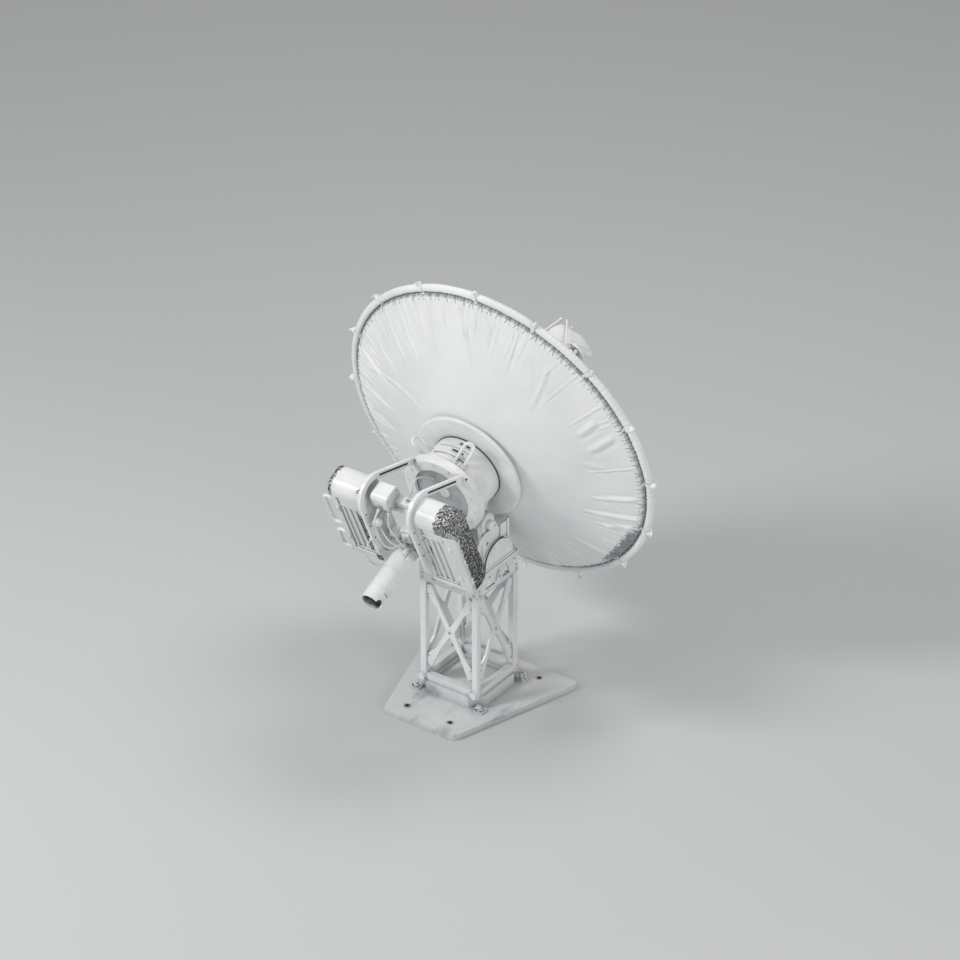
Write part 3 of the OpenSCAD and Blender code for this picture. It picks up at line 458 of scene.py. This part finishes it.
def makeBackCover():
    bm = bmesh.new()
    span = cover["edge"] - cover["inner"]
    radii = [cover["inner"] + span * k / cover["rings"] for k in range(cover["rings"] + 1)]
    profile = [(r, cover["start"] + cover["slope"] * (r - cover["inner"])) for r in radii]
    profile += [(.891, -.0405), (.896, -.036), (.901, -.031), (.906, -.024), (.909, -.016)]
    addLathe(bm, profile, Matrix.Identity(4), steps=cover["steps"], closed=False)
    grooveShade = bm.verts.layers.float.new("grooveShade")
    greyMarks = bm.verts.layers.float.new("greyMarks")
    byAngle = {}
    for fold in coverFolds(11):
        middle = round((fold[1] + fold[3]) / 2) % 360
        for k in range(-14, 15):
            byAngle.setdefault((middle + k) % 360, []).append(fold)
    outward = Vector((math.sin(math.atan(cover["slope"])), 0, -math.cos(math.atan(cover["slope"]))))
    for v in bm.verts:
        radius, angle = math.hypot(v.co.x, v.co.y), math.degrees(math.atan2(v.co.y, v.co.x)) % 360
        lift = 1.6 * noise.noise(v.co * 5.2) + .8 * noise.noise(v.co * 17)
        for r0, a0, r1, a1, height, half in byAngle.get(round(angle) % 360, ()):
            along = (radius - r0) / (r1 - r0)
            if -.12 < along < 1.12:
                turned = (angle - a0 - (a1 - a0) * along + 180) % 360 - 180
                off = turned * math.pi / 180 * radius * 1000 / half     # from the fold's line, in half widths
                if abs(off) < 3.6:
                    fade = max(0, min(1, (along + .12) * 2.6)) * max(0, min(1, (1.12 - along) * 7))
                    lift += height * fade * (math.exp(-off * off) - .42 * math.exp(-(off - 1.7) ** 2)
                                             - .3 * math.exp(-(off + 1.7) ** 2))
        hem = max(0, min(1, (radius - .845) / .045))
        pleat = math.sin(math.radians(angle) * 236 + 5 * noise.noise(v.co * 9))
        lift += 1.7 * hem * hem * pleat
        lift *= min(1, (radius - .30) / .03) if radius < .33 else 1
        turn = Matrix.Rotation(math.radians(angle), 3, "Z")
        v.co += turn @ outward * (min(lift, 13) * .001)
        # painted shade for the groove under the hem, where the cover's edge turns in
        v[grooveShade] = max(0, min(1, (radius - .895) / .008)) * (.62 + .2 * pleat)
        # a patch of grey speckle near the rim, round 216 degrees
        inPatch = max(0, 1 - abs((angle - 216) / 21) ** 3) * max(0, min(1, (radius - .80) / .07))
        v[greyMarks] = .68 * inPatch
    bmesh.ops.transform(bm, matrix=dishFrame, verts=bm.verts)
    piece = addPiece("backCover", bm, "head", coverCloth, 80)
    wall = piece.modifiers.new("wall", "SOLIDIFY")
    wall.thickness = cover["thick"]
    wall.offset = -1
    return piece


backCover = makeBackCover()
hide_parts("back_skin")
print("back cover made")


# Rim hem: cloth folded over a foam core, pinched by a strap at each clip
hem = {"radius": .9335, "height": -.008, "wide": .0215, "deep": .0205, "steps": 720, "sides": 22,
       "clips": 16, "strapHalf": .011, "strapThick": .0022}


def makeHem():
    bm = bmesh.new()
    profile = [(hem["radius"] + hem["wide"] * math.cos(t), hem["height"] + hem["deep"] * math.sin(t))
               for t in (2 * math.pi * k / hem["sides"] for k in range(hem["sides"]))]
    addLathe(bm, profile, Matrix.Identity(4), steps=hem["steps"])
    grooveShade = bm.verts.layers.float.new("grooveShade")
    for v in bm.verts:
        angle = math.atan2(v.co.y, v.co.x)
        around = Vector((math.cos(angle), math.sin(angle), 0))
        centre = around * hem["radius"] + Vector((0, 0, hem["height"]))
        toClip = abs((math.degrees(angle) % (360 / hem["clips"]) + 180 / hem["clips"])
                     % (360 / hem["clips"]) - 180 / hem["clips"])
        pinch = -.10 * math.exp(-(toClip / 1.1) ** 2) - .05 * (1 - min(1, toClip / 11)) ** 2
        soft = .07 * noise.noise(v.co * 14) + .05 * noise.noise(v.co * 38)
        ruck = .05 * math.sin(angle * 210 + 4 * noise.noise(v.co * 7))
        v.co = centre + (v.co - centre) * (1 + pinch + soft + ruck)
        v.co += around * (.0022 * noise.noise(centre * 4.2))
        # painted shade on the hem's inner side, facing the groove
        inner = max(0, -(v.co - centre).dot(around) / hem["wide"] - .72)
        v[grooveShade] = min(1, inner * 3.2) * .8
    bmesh.ops.transform(bm, matrix=dishFrame, verts=bm.verts)
    return addPiece("rimHem", bm, "head", hemCloth, 80)


rimHem = makeHem()
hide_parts("rim_tube")


def makeHemStraps():
    straps, laces = bmesh.new(), bmesh.new()
    r0, r1, half = hem["wide"] * .96, hem["wide"] + hem["strapThick"], hem["strapHalf"]
    for k in range(hem["clips"]):
        angle = 360 * k / hem["clips"] + .4 * math.sin(7 * k)
        place = dishFrame @ at(turn=angle) @ at(hem["radius"], 0, hem["height"], 90, "X")
        addLathe(straps, [(r0, -half), (r1, -half), (r1, half), (r0, half)], place, steps=28)
        addBlock(straps, (.017, .004, .020), place @ at(-r1 - .001, -.012, 0, 38, "Z"), .0015)
        addRod(straps, .0045, .006, place @ at(-r1 - .003, -.020, 0, 90, "X"), sides=8)
    stitches = 200
    for k in range(stitches):                             # the lacing across the groove
        a, b = (2 * math.pi * (k + s * .5) / stitches for s in (0, 1 if k % 2 else -1))
        start = dishFrame @ Vector((.884 * math.cos(a), .884 * math.sin(a), -.0475))
        end = dishFrame @ Vector((.9135 * math.cos(b), .9135 * math.sin(b), -.022))
        addRod(laces, .0016, (end - start).length, aimed(start, end), sides=5)
    return (addPiece("hemStraps", straps, "head", hemCloth),
            addPiece("hemLacing", laces, "head", lacingCord))


makeHemStraps()


# Cloth ears: the hem's loose cloth, tied over each clip
ears = {"size": (.019, .012, .017), "out": .9600, "up": -.014}


def makeEars():
    bm = bmesh.new()
    draw = random.Random(23)
    for k in range(hem["clips"]):
        clip = dishFrame @ at(turn=360 * k / hem["clips"])
        place = clip @ at(ears["out"], 0, ears["up"], draw.uniform(-18, 18), "Y")
        grow = draw.uniform(.85, 1.2)
        size = Matrix.Diagonal((*(grow * d for d in ears["size"]), 1))
        ball = bmesh.ops.create_uvsphere(bm, u_segments=28, v_segments=18, radius=1, matrix=place @ size)
        for v in ball["verts"]:
            v.co += (.0050 * noise.noise_vector(v.co * 31 + Vector((k, 0, 0)))
                     + .0018 * noise.noise_vector(v.co * 90))
        tie = place @ at(-.012, 0, 0, 90, "Y")
        addLathe(bm, [(.0125 * grow, -.002), (.0150 * grow, 0), (.0125 * grow, .002)], tie, steps=20)
    return addPiece("hemEars", bm, "head", hemCloth, 80)


makeEars()
print("rim made")


# Feed hood: a pleated cloth bag that leans to one side, held by two stays
hood = {"turn": 36, "from": -.080, "to": .176, "half": .056, "top": .764, "folds": 50, "fold": .0055,
        "focus": (.27, .46)}


def makeHood():
    bm = bmesh.new()
    bmesh.ops.create_uvsphere(bm, u_segments=96, v_segments=48, radius=1)
    frameHere = dishFrame @ at(turn=hood["turn"])
    for v in bm.verts:
        a, angle = v.co.z, math.atan2(v.co.y, v.co.x)
        full = (1 - abs(a) ** 3.2) ** .5 if abs(a) < 1 else 0
        along = hood["from"] + (hood["to"] - hood["from"]) * (a + 1) / 2
        low = .705 - max(0, along + .08) * .78
        low = max(low, .54)
        top = hood["top"] + .004 * math.sin(along * 60)
        wide = hood["half"] * (.62 + .38 * math.sin(math.pi * (a + 1) / 2)) * (.55 if a < -.9 else 1)
        middle, deep = (top + low) / 2, (top - low) / 2
        flat = math.copysign(abs(math.sin(angle)) ** .8, math.sin(angle))
        z = middle + deep * full * flat
        side = wide * full * math.cos(angle)
        if a < -.3:                                       # the free end has two pointed corners
            along -= .024 * (abs(math.sin(angle)) ** 3 - .5) * min(1, (-a - .3) / .5) * full ** .3
        phase = math.atan2(z - hood["focus"][1], hood["focus"][0] - along)
        pleat = math.cos(phase * hood["folds"] + 1.2 * noise.noise(Vector((along, side, z)) * 9))
        side += math.copysign(hood["fold"] * pleat * abs(math.cos(angle)) ** .5 * full, math.cos(angle))
        soft = noise.noise_vector(Vector((along, side, z)) * 13) * .004
        v.co = Vector((along, side, z)) + soft
    bmesh.ops.transform(bm, matrix=frameHere, verts=bm.verts)
    return addPiece("feedHood", bm, "head", hoodCloth, 80)


feedHood = makeHood()
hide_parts("feed_hood")


def makeHoodStays():
    bm = bmesh.new()
    frameHere = dishFrame @ at(turn=hood["turn"])
    foot = dishFrame @ Vector((.2333, .2333, -.170))
    corner = frameHere @ Vector((.163, .004, .772))
    addTube(bm, [foot, (foot + corner) / 2, corner], .0062)
    strut = dishFrame @ Vector((-.085, .085, .471))
    crown = frameHere @ Vector((.125, .058, .742))
    addTube(bm, [strut, (strut + crown) / 2, crown, frameHere @ Vector((.136, .03, .77))], .0060)
    for end in (strut, corner):
        bmesh.ops.create_icosphere(bm, subdivisions=2, radius=.010, matrix=Matrix.Translation(end))
    addRod(bm, .006, .030, frameHere @ at(.091, .0, .757), sides=12, edge=.002)
    return addPiece("hoodStays", bm, "head", headEnamel)


makeHoodStays()
print("feed hood made")


# Small parts of the hub: a black gasket ring that paints the shade in the gap under the flange's lip, black
# strips and discs that paint the shade in the slots and holes, and bolts, in the dish frame's polar places
hub = {"slots": [(90, .026, 19), (93, .082, 17)], "slotHalf": .0060,
       "holeShadeDiscs": [(.2000, 119.6, -.050), (.2400, 135.6, -.104), (.2000, 58, -.040)], "ringBolts": 14,
       "discBolts": 8, "handlePads": [(43, -.027, 0, 0, .0150, .0042), (43, .027, 0, 0, .0150, .0042),
                                      (114, -.040, -.027, -.001, .0155, .0050),
                                      (114, -.040, .027, -.001, .0155, .0050)]}
pivotPlane = dishFrame @ at(z=-head["rim"])


def onHub(angle, radius, height):                         # local Z points out along the radius
    return pivotPlane @ at(turn=angle) @ at(radius, 0, height, 90, "Y")


def makeHubParts():
    dark, steel, white = bmesh.new(), bmesh.new(), bmesh.new()
    # painted shade: the first black ring stands for the shade in the gap under the flange's lip
    for low, high in ((.1095, .1142), (-.0648, -.0612)):
        addLathe(dark, [(.1990, low), (.2030, low), (.2030, high), (.1990, high)], pivotPlane, steps=128)
    # painted shade: black strips in the slots beside the white ribs
    for angle, height, span in hub["slots"]:
        half = hub["slotHalf"]
        addLathe(dark, [(.1995, height - half), (.2014, height - half), (.2014, height + half),
                        (.1995, height + half)], pivotPlane @ at(turn=angle), span, 20)
        addLathe(white, [(.1995, height - half - .003), (.2026, height - half - .003), (.2026, height - half),
                         (.1995, height - half)], pivotPlane @ at(turn=angle - 1), span + 2, 20)
    # painted shade: black discs stand for the shade in the drum's holes
    for radius, angle, height in hub["holeShadeDiscs"]:
        addRod(dark, .0058, .004, onHub(angle, radius - .001, height), sides=18, edge=.001)
    for k in range(hub["ringBolts"]):
        place = pivotPlane @ at(turn=360 * k / hub["ringBolts"] + 9) @ at(.207, 0, -.1262, 180, "X")
        addRod(steel, .0050, .0042, place, sides=6, edge=.0006)
    for k in range(hub["discBolts"]):
        place = pivotPlane @ at(turn=360 * k / hub["discBolts"]) @ at(.148, 0, -.1042, 180, "X")
        addRod(steel, .0048, .0040, place, sides=6, edge=.0006)
    addLathe(dark, [(.1655, -.1052), (.1676, -.1052), (.1676, -.1022), (.1655, -.1022)], pivotPlane, steps=96)
    addRod(white, .034, .012, pivotPlane @ at(0, 0, -.092, 180, "X"), tip=.030, sides=40, edge=.002)
    for angle, along, side, sink, radius, thick in hub["handlePads"]:
        addRod(white, radius, thick, onHub(angle, .1998, along) @ at(0, side, sink), sides=28, edge=.001)
    addPiece("hubSealsAndShadeStrips", dark, "head", blackRubberAndShade)
    addPiece("hubBolts", steel, "head", headEnamel)
    addPiece("hubFittings", white, "head", headEnamel)


makeHubParts()
print("hub parts made")


# Small parts of the boxes, in their leaning frame: screws, latches, gaskets, tape and hanging foil
box = {"left": (.164, .3577), "right": (.1783, .372), "rear": .0825, "cover": .0745,
       "window": (-.220, .210), "screws": (-.205, -.10, .0, .10, .195), "latches": (-.13, .11),
       "foil": [(.214, .0772, -.055, (.020, .003, .300), 3), (.198, .0775, -.160, (.028, .003, .100), -4),
                (.186, .0845, -.232, (.036, .003, .038), 5), (-.206, .0772, -.045, (.016, .003, .210), -3),
                (.1755, .020, .3022, (.012, .070, .003), 0), (.190, .046, .2925, (.010, .040, .003), 0),
                (.1755, .0845, .120, (.012, .003, .110), 2)]}


def makeBoxParts():
    seal, screw, white, foil = bmesh.new(), bmesh.new(), bmesh.new(), bmesh.new()
    draw = random.Random(5)
    for side in (1, -1):
        inner, outer = (side * x for x in box["left" if side > 0 else "right"])
        for edge in (inner, outer):
            inward = 1 if abs(edge) < .25 else -1
            x = edge + side * inward * .0205
            addBlock(seal, (.0026, .002, .431), boxFrame @ at(x, box["cover"] + .0006, -.005))
            for z in box["screws"]:
                place = boxFrame @ at(edge + side * inward * .010, box["rear"] - .0002, z, -90, "X")
                addRod(screw, .0042, .0026, place, sides=16, edge=.0006)
        middle, wide = (inner + outer) / 2, abs(outer - inner) - .038
        for z in box["window"]:
            addBlock(seal, (wide, .002, .0026), boxFrame @ at(middle, box["cover"] + .0006, z))
        for z in box["latches"]:
            addBlock(white, (.016, .010, .040), boxFrame @ at(outer - side * .010, box["rear"] + .003, z), .002)
            pin = boxFrame @ at(outer - side * .010, box["rear"] + .002, z, -90, "X")
            addRod(screw, .0045, .014, pin, sides=12)
    for k in range(34):                                   # torn tape along the foil's edge on the right box
        z = .125 - .0123 * k
        reach = .026 + .012 * k / 34
        size = (.0016, draw.uniform(.010, .022), draw.uniform(.013, .019))
        place = boxFrame @ at(-.3727, reach + draw.gauss(0, .0022), z, draw.uniform(-16, 16), "X")
        addBlock(white, size, place, .0005, 1)
    for k in range(14):
        t = k / 13
        spot = Vector((-.3727, .024 + .050 * t, .128 + .110 * t))
        addBlock(white, (.0016, draw.uniform(.011, .018), draw.uniform(.010, .016)),
                 boxFrame @ Matrix.Translation(spot) @ Matrix.Rotation(draw.uniform(-.4, .4), 4, "X"), .0005, 1)
    for x, y, z, size, turn in box["foil"]:
        addBlock(foil, size, boxFrame @ at(x, y, z, turn, "Y"), .001, 1)
    for side in (1, -1):                                  # rubber lining in the side frames' slots and holes
        face = side * (.1480 if side > 0 else .1595)
        slot = aimed((face, -.2898, .1385), (face, -.0859, .2872))
        addBlock(seal, (.0100, .0040, .246), boxFrame @ slot @ at(z=.1262))
        for z in (.168, .072, -.024):
            addRod(seal, .0059, .0050, boxFrame @ at(face - .0025, .0945, z, 90, "Y"), sides=20)
    addPiece("boxGaskets", seal, "head", blackRubberAndShade)
    addPiece("boxScrews", screw, "head", headEnamel)
    addPiece("boxTapeAndLatches", white, "head", headEnamel)
    addPiece("boxFoilStrips", foil, "head", foilStrip)


makeBoxParts()
print("box parts made")


# What hangs between the boxes: clamps, knob, junction boxes and the tail tube's collars
between = {"crossTop": (-.020, .155), "crossLow": (-.030, -.125), "tubeRadius": .023}


def alongX(x, y, z):                                      # in the boxes' frame, local Z along X
    return boxFrame @ at(x, y, z, 90, "Y")


def makeBetween():
    white, steel, seal = bmesh.new(), bmesh.new(), bmesh.new()
    r = between["tubeRadius"]
    for y, z in (between["crossTop"], between["crossLow"]):
        for x in (-.128, .128):
            addLathe(white, [(r, -.014), (r + .0075, -.012), (r + .0075, .012), (r, .014)], alongX(x, y, z),
                     steps=40)
            addBlock(white, (.022, .018, .026), boxFrame @ at(x, y + r + .010, z), .002)
            for dz in (-.007, .007):
                addRod(steel, .004, .005, boxFrame @ at(x, y + r + .018, z + dz, -90, "X"), sides=6)
        for side in (-1, 1):
            addLathe(white, [(r, 0), (.034, 0), (.034, .006), (r, .010)],
                     boxFrame @ at(side * .1434, y, z, -side * 90, "Y"), steps=40)
    addRod(white, .010, .078, boxFrame @ aimed((.100, -.005, .142), (.100, .070, .115)), sides=24)
    for v in bmesh.ops.create_uvsphere(white, u_segments=32, v_segments=20, radius=.027,
                                       matrix=boxFrame @ at(.100, .078, .113))["verts"]:
        v.co += .0012 * noise.noise_vector(v.co * 40)
    addBlock(white, (.086, .066, .100), boxFrame @ at(-.040, .016, .010, 8, "Z"), .014, 5)
    addBlock(white, (.050, .020, .066), boxFrame @ at(-.040, .055, .014, 8, "Z"), .006, 4)
    addBlock(white, (.072, .050, .058), boxFrame @ at(.072, .012, -.055, -14, "X"), .012, 5)
    addBlock(white, (.040, .034, .150), boxFrame @ at(.118, -.010, .030, 4, "X"), .008, 4)
    for x, z in ((-.062, .044), (-.018, .044), (-.062, -.018), (-.018, -.018)):
        addRod(steel, .0036, .005, boxFrame @ at(x, .0655 - .14 * (x + .04), z, -90, "X"), sides=6)
    for x, y, z in ((.072, .037, -.060), (-.040, .064, .010)):
        addRod(steel, .009, .016, boxFrame @ at(x, y, z, -90, "X"), sides=20, edge=.001)
    for x in (.0215, .1185):                              # seams round the tracking unit
        addBlock(seal, (.0016, .096, .088), boxFrame @ at(x, -.010, .2335), .001, 1)
    for y, z in ((-.052, .204), (.032, .204), (-.052, .262), (.032, .262)):
        addRod(steel, .0040, .004, boxFrame @ at(.1200, y, z, 90, "Y"), sides=6)
        addRod(steel, .0040, .004, boxFrame @ at(.0200, y, z, -90, "Y"), sides=6)
    addRod(steel, .013, .020, boxFrame @ at(.070, .050, .215, -90, "X"), sides=24, edge=.0015)
    addRod(steel, .009, .012, boxFrame @ at(-.048, -.036, .2185), sides=6, edge=.001)
    for low, high, out in ((.002, .046, .0085), (.060, .072, .004), (.205, .212, .0022), (.318, .330, .0030)):
        addLathe(white, [(.0575, low), (.058 + out - .0015, low), (.058 + out, low + .0015),
                         (.058 + out, high - .0015), (.058 + out - .0015, high), (.0575, high)],
                 tailFrame, steps=72)
    addBlock(white, (.022, .020, .042), tailFrame @ at(-.030, -.058, .092, 25, "Z"), .004, 3)
    addBlock(white, (.016, .014, .028), tailFrame @ at(-.050, -.038, .120, 50, "Z"), .003, 3)
    for angle in (-150, -100, -50, 0):
        place = tailFrame @ at(turn=angle) @ at(.0660, 0, .024, 90, "Y")
        addRod(steel, .0045, .006, place, sides=6, edge=.0006)
    addLathe(seal, [(.0578, .0465), (.0598, .0465), (.0598, .0500), (.0578, .0500)], tailFrame, steps=72)
    for angle in range(0, 360, 45):                       # contacts in the tube's end
        addRod(steel, .0030, .006, tailFrame @ at(.015 * math.cos(math.radians(angle)),
                                                  .015 * math.sin(math.radians(angle)), .4095), sides=8)
    addPiece("betweenBoxes", white, "head", headEnamel)
    addPiece("betweenScrews", steel, "head", zincPlate)
    addPiece("betweenSeals", seal, "head", blackRubberAndShade)


makeBetween()
print("parts between the boxes made")


# Free cables, each from one fitting to another: places in the boxes' frame
cables = {
    "cableKnob": (.0095, [(.070, .066, .215), (.078, .112, .170), (.077, .126, .080), (.070, .122, -.020),
                          (.050, .100, -.062), (.034, .066, -.078)]),
    "cableUnit": (.0085, [(.030, .045, .180), (.016, .090, .130), (-.012, .100, .070), (-.048, .092, -.020),
                          (-.056, .040, -.080), (-.052, .008, -.106)]),
    "cableLoop": (.0065, [(.160, .112, -.020), (.164, .168, -.050), (.160, .176, -.130), (.132, .160, -.176),
                          (.090, .120, -.165), (.052, .064, -.152)]),
    "cableCross": (.0080, [(.118, .006, .126), (.112, .060, .070), (.060, .094, .000), (.014, .088, -.040),
                           (-.012, .056, -.068)]),
    "cableDisc": (.0080, [(-.048, -.030, .216), (-.060, -.070, .262), (-.030, -.160, .250), (.010, -.260, .120),
                          (.050, -.334, .006)])}


def makeCables():
    for name, (diameter, points) in cables.items():
        line = smoothLine([boxFrame @ Vector(p) for p in points], 10)
        cable = lineCurve(name, line, diameter / 2, 5)
        cable.data.materials.append(cableJacket)
        bpy.context.scene.collection.objects.link(cable)
        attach(cable, "head")
    glands = bmesh.new()
    for diameter, points in cables.values():
        for a, b in ((points[0], points[1]), (points[-1], points[-2])):
            addRod(glands, diameter * .95, .016, boxFrame @ aimed(a, b) @ at(z=-.004), sides=20, edge=.0012)
    addPiece("cableGlands", glands, "head", headEnamel)


makeCables()
print("cables made")


# Yoke and turntable: bearing caps, gaskets, bolts and clamps
yoke = {"pivot": (.060, 1.120), "arm": .162, "housing": (-.020, .868, .122), "capBolts": 6}


def makeYokeParts():
    white, steel, seal = bmesh.new(), bmesh.new(), bmesh.new()
    y, z = yoke["pivot"]
    for side in (1, -1):
        face = at(side * yoke["arm"], y, z, side * 90, "Y")
        addLathe(white, [(.0262, 0), (.056, 0), (.056, .0035), (.053, .005), (.0262, .005)], face, steps=56)
        for k in range(yoke["capBolts"]):
            addRod(steel, .0042, .0042, face @ at(turn=60 * k + 30) @ at(.0475, 0, .0048), sides=6, edge=.0005)
        hy, hz, hr = yoke["housing"]
        end = at(side * .1752, hy, hz, 90, "Y") @ at(turn=90)
        addLathe(seal, [(hr - .006, -.0012), (hr + .0016, -.0012), (hr + .0016, .0016), (hr - .006, .0016)],
                 end, 180, 48)
        for k in range(7):
            place = end @ at(turn=15 + 25 * k) @ at(hr - .016, 0, side * .0086, 0 if side > 0 else 180, "X")
            addRod(steel, .0038, .0034, place, sides=6, edge=.0005)
        for k in (-1, 1):
            addBlock(white, (.090, .020, .012), at(side * .11, hy + k * (hr + .009), hz + .006), .002)
            for x in (.078, .142):
                place = at(side * x, hy + k * (hr + .011), hz + .0118)
                addRod(steel, .0050, .0048, place, sides=6, edge=.0006)
    for sx in (-1, 1):
        for sy in (-1, 1):
            addRod(steel, .0080, .0070, at(sx * .158, sy * .158, .868), sides=6, edge=.001)
            addRod(steel, .0120, .0016, at(sx * .158, sy * .158, .868), sides=28)
    for z in (.902, .958):                                # clamps on the arm's conduit
        addBlock(white, (.014, .030, .010), at(-.1640, .150, z), .0015)
        addRod(steel, .0032, .0030, at(-.1710, .160, z, -90, "Y"), sides=6)
    addPiece("yokeCaps", white, "yoke", headEnamel)
    addPiece("yokeBolts", steel, "yoke", headEnamel)
    addPiece("yokeGaskets", seal, "yoke", blackRubberAndShade)


makeYokeParts()
print("yoke parts made")


# Mast and base: gasket lines under the turntable and the deck, weld beads, bolts, washers and hole liners
mast = {"post": .1675, "plate": .035, "panelFace": -.1742, "headerFace": -.1863,
        "holes": [(.278, -.256), (-.278, -.256), (.140, .368), (-.140, .368)]}


def makeMastParts():
    white, steel, seal = bmesh.new(), bmesh.new(), bmesh.new()
    for turn in range(0, 360, 90):
        face = at(turn=turn)
        addBlock(seal, (.350, .006, .0026), face @ at(0, -.1835, .8543))
        addBlock(seal, (.340, .0030, .0022), face @ at(0, -.1872, .8282))
        for x in (-.150, -.075, .075, .150):
            addRod(steel, .0048, .0046, face @ at(x, mast["headerFace"], .812, 90, "X"), sides=6, edge=.0006)
        for x in (-.167, .167):
            for z in (.744, .768):
                addRod(steel, .0050, .0050, face @ at(x, mast["headerFace"], z, 90, "X"), sides=6, edge=.0006)
        bead = [Vector((x, -.1868, .7268 + .0008 * math.sin(40 * x))) for x in (-.185, -.09, 0, .09, .185)]
        addTube(white, [face @ p for p in bead], .0042, per=6, sides=2)
        for side in (-1, 1):
            for z in (.196, .256, .640, .700):
                place = face @ at(side * .137, mast["panelFace"], z, 90, "X")
                addRod(steel, .0040, .0046, place, sides=6, edge=.0005)
        middle = face @ at(0, mast["panelFace"], .4465, 90, "X")        # where the two braces cross
        addRod(steel, .0075, .0060, middle, sides=6, edge=.0008)
        addRod(white, .0130, .0020, middle, sides=28, edge=.0006)
    for sx in (-1, 1):
        for sy in (-1, 1):
            post = at(sx * mast["post"], sy * mast["post"])
            ringBead = [post @ Vector((.0225 * math.cos(t), .0225 * math.sin(t), .1015))
                        for t in (math.radians(a) for a in range(0, 361, 30))]
            addTube(white, ringBead, .0048, per=3, sides=2)
            foot = at(sx * .2065, sy * .192, mast["plate"])
            addRod(steel, .0215, .0028, foot @ at(z=.0088), sides=36, edge=.0006)
            wire = [(sx * -.026, sy * .004, .010), (sx * -.012, sy * .020, .030),
                    (sx * .010, sy * .018, .034), (sx * .024, sy * .002, .012)]
            addTube(white, [foot @ Vector(p) for p in wire], .0046, per=6, sides=2)
            addBlock(white, (.020, .016, .020), foot @ at(sx * -.020, sy * -.012, .018, 20, "Z"), .003, 3)
    for x, y in mast["holes"]:
        liner = [(.0105, .012), (.0128, .012), (.0128, .0352), (.0185, .0352), (.0185, .0372), (.0105, .0372)]
        addLathe(steel, liner, at(x, y), steps=40)
    addPiece("mastWelds", white, "mast", mastEnamel)
    addPiece("mastBolts", steel, "mast", zincPlate)
    addPiece("mastGaskets", seal, "mast", blackRubberAndShade)


makeMastParts()
print("mast parts made")


# Soft studio light on a plain pale floor
stage = {"floor": "C6C8C9", "world": "F1F1F0", "strength": .46,
         "lamps": [((4.5, 7.0, 7.5), 2.6, 560), ((-8.0, 4.0, 3.0), 3.0, 190), ((-1.0, -3.0, 9.0), 4, 200)]}


def makeStage():
    scene = bpy.context.scene
    world = bpy.data.worlds.new("softRoom")
    world.use_nodes = True
    sky = world.node_tree.nodes["Background"]
    sky.inputs[0].default_value = linear(stage["world"])
    sky.inputs[1].default_value = stage["strength"]
    scene.world = world
    scene.view_settings.view_transform = "Standard"
    bm = bmesh.new()
    bmesh.ops.create_grid(bm, x_segments=1, y_segments=1, size=30)
    mesh = bpy.data.meshes.new("floor")
    bm.to_mesh(mesh)
    bm.free()
    floor = bpy.data.objects.new("floor", mesh)
    floor.location.z = cadBox[0][2]
    floorPaint, _, shader = newMaterial("paleFloor", Roughness=.75)
    shader.inputs["Base Color"].default_value = linear(stage["floor"])
    mesh.materials.append(floorPaint)
    scene.collection.objects.link(floor)
    for k, (place, size, power) in enumerate(stage["lamps"]):
        data = bpy.data.lights.new("lamp" + str(k), "AREA")
        data.shape = "DISK"
        data.size = size
        data.energy = power
        lamp = bpy.data.objects.new("lamp" + str(k), data)
        lamp.matrix_world = aimed(place, (0, 0, 1.1)) @ Matrix.Rotation(math.pi, 4, "X")
        scene.collection.objects.link(lamp)


makeStage()
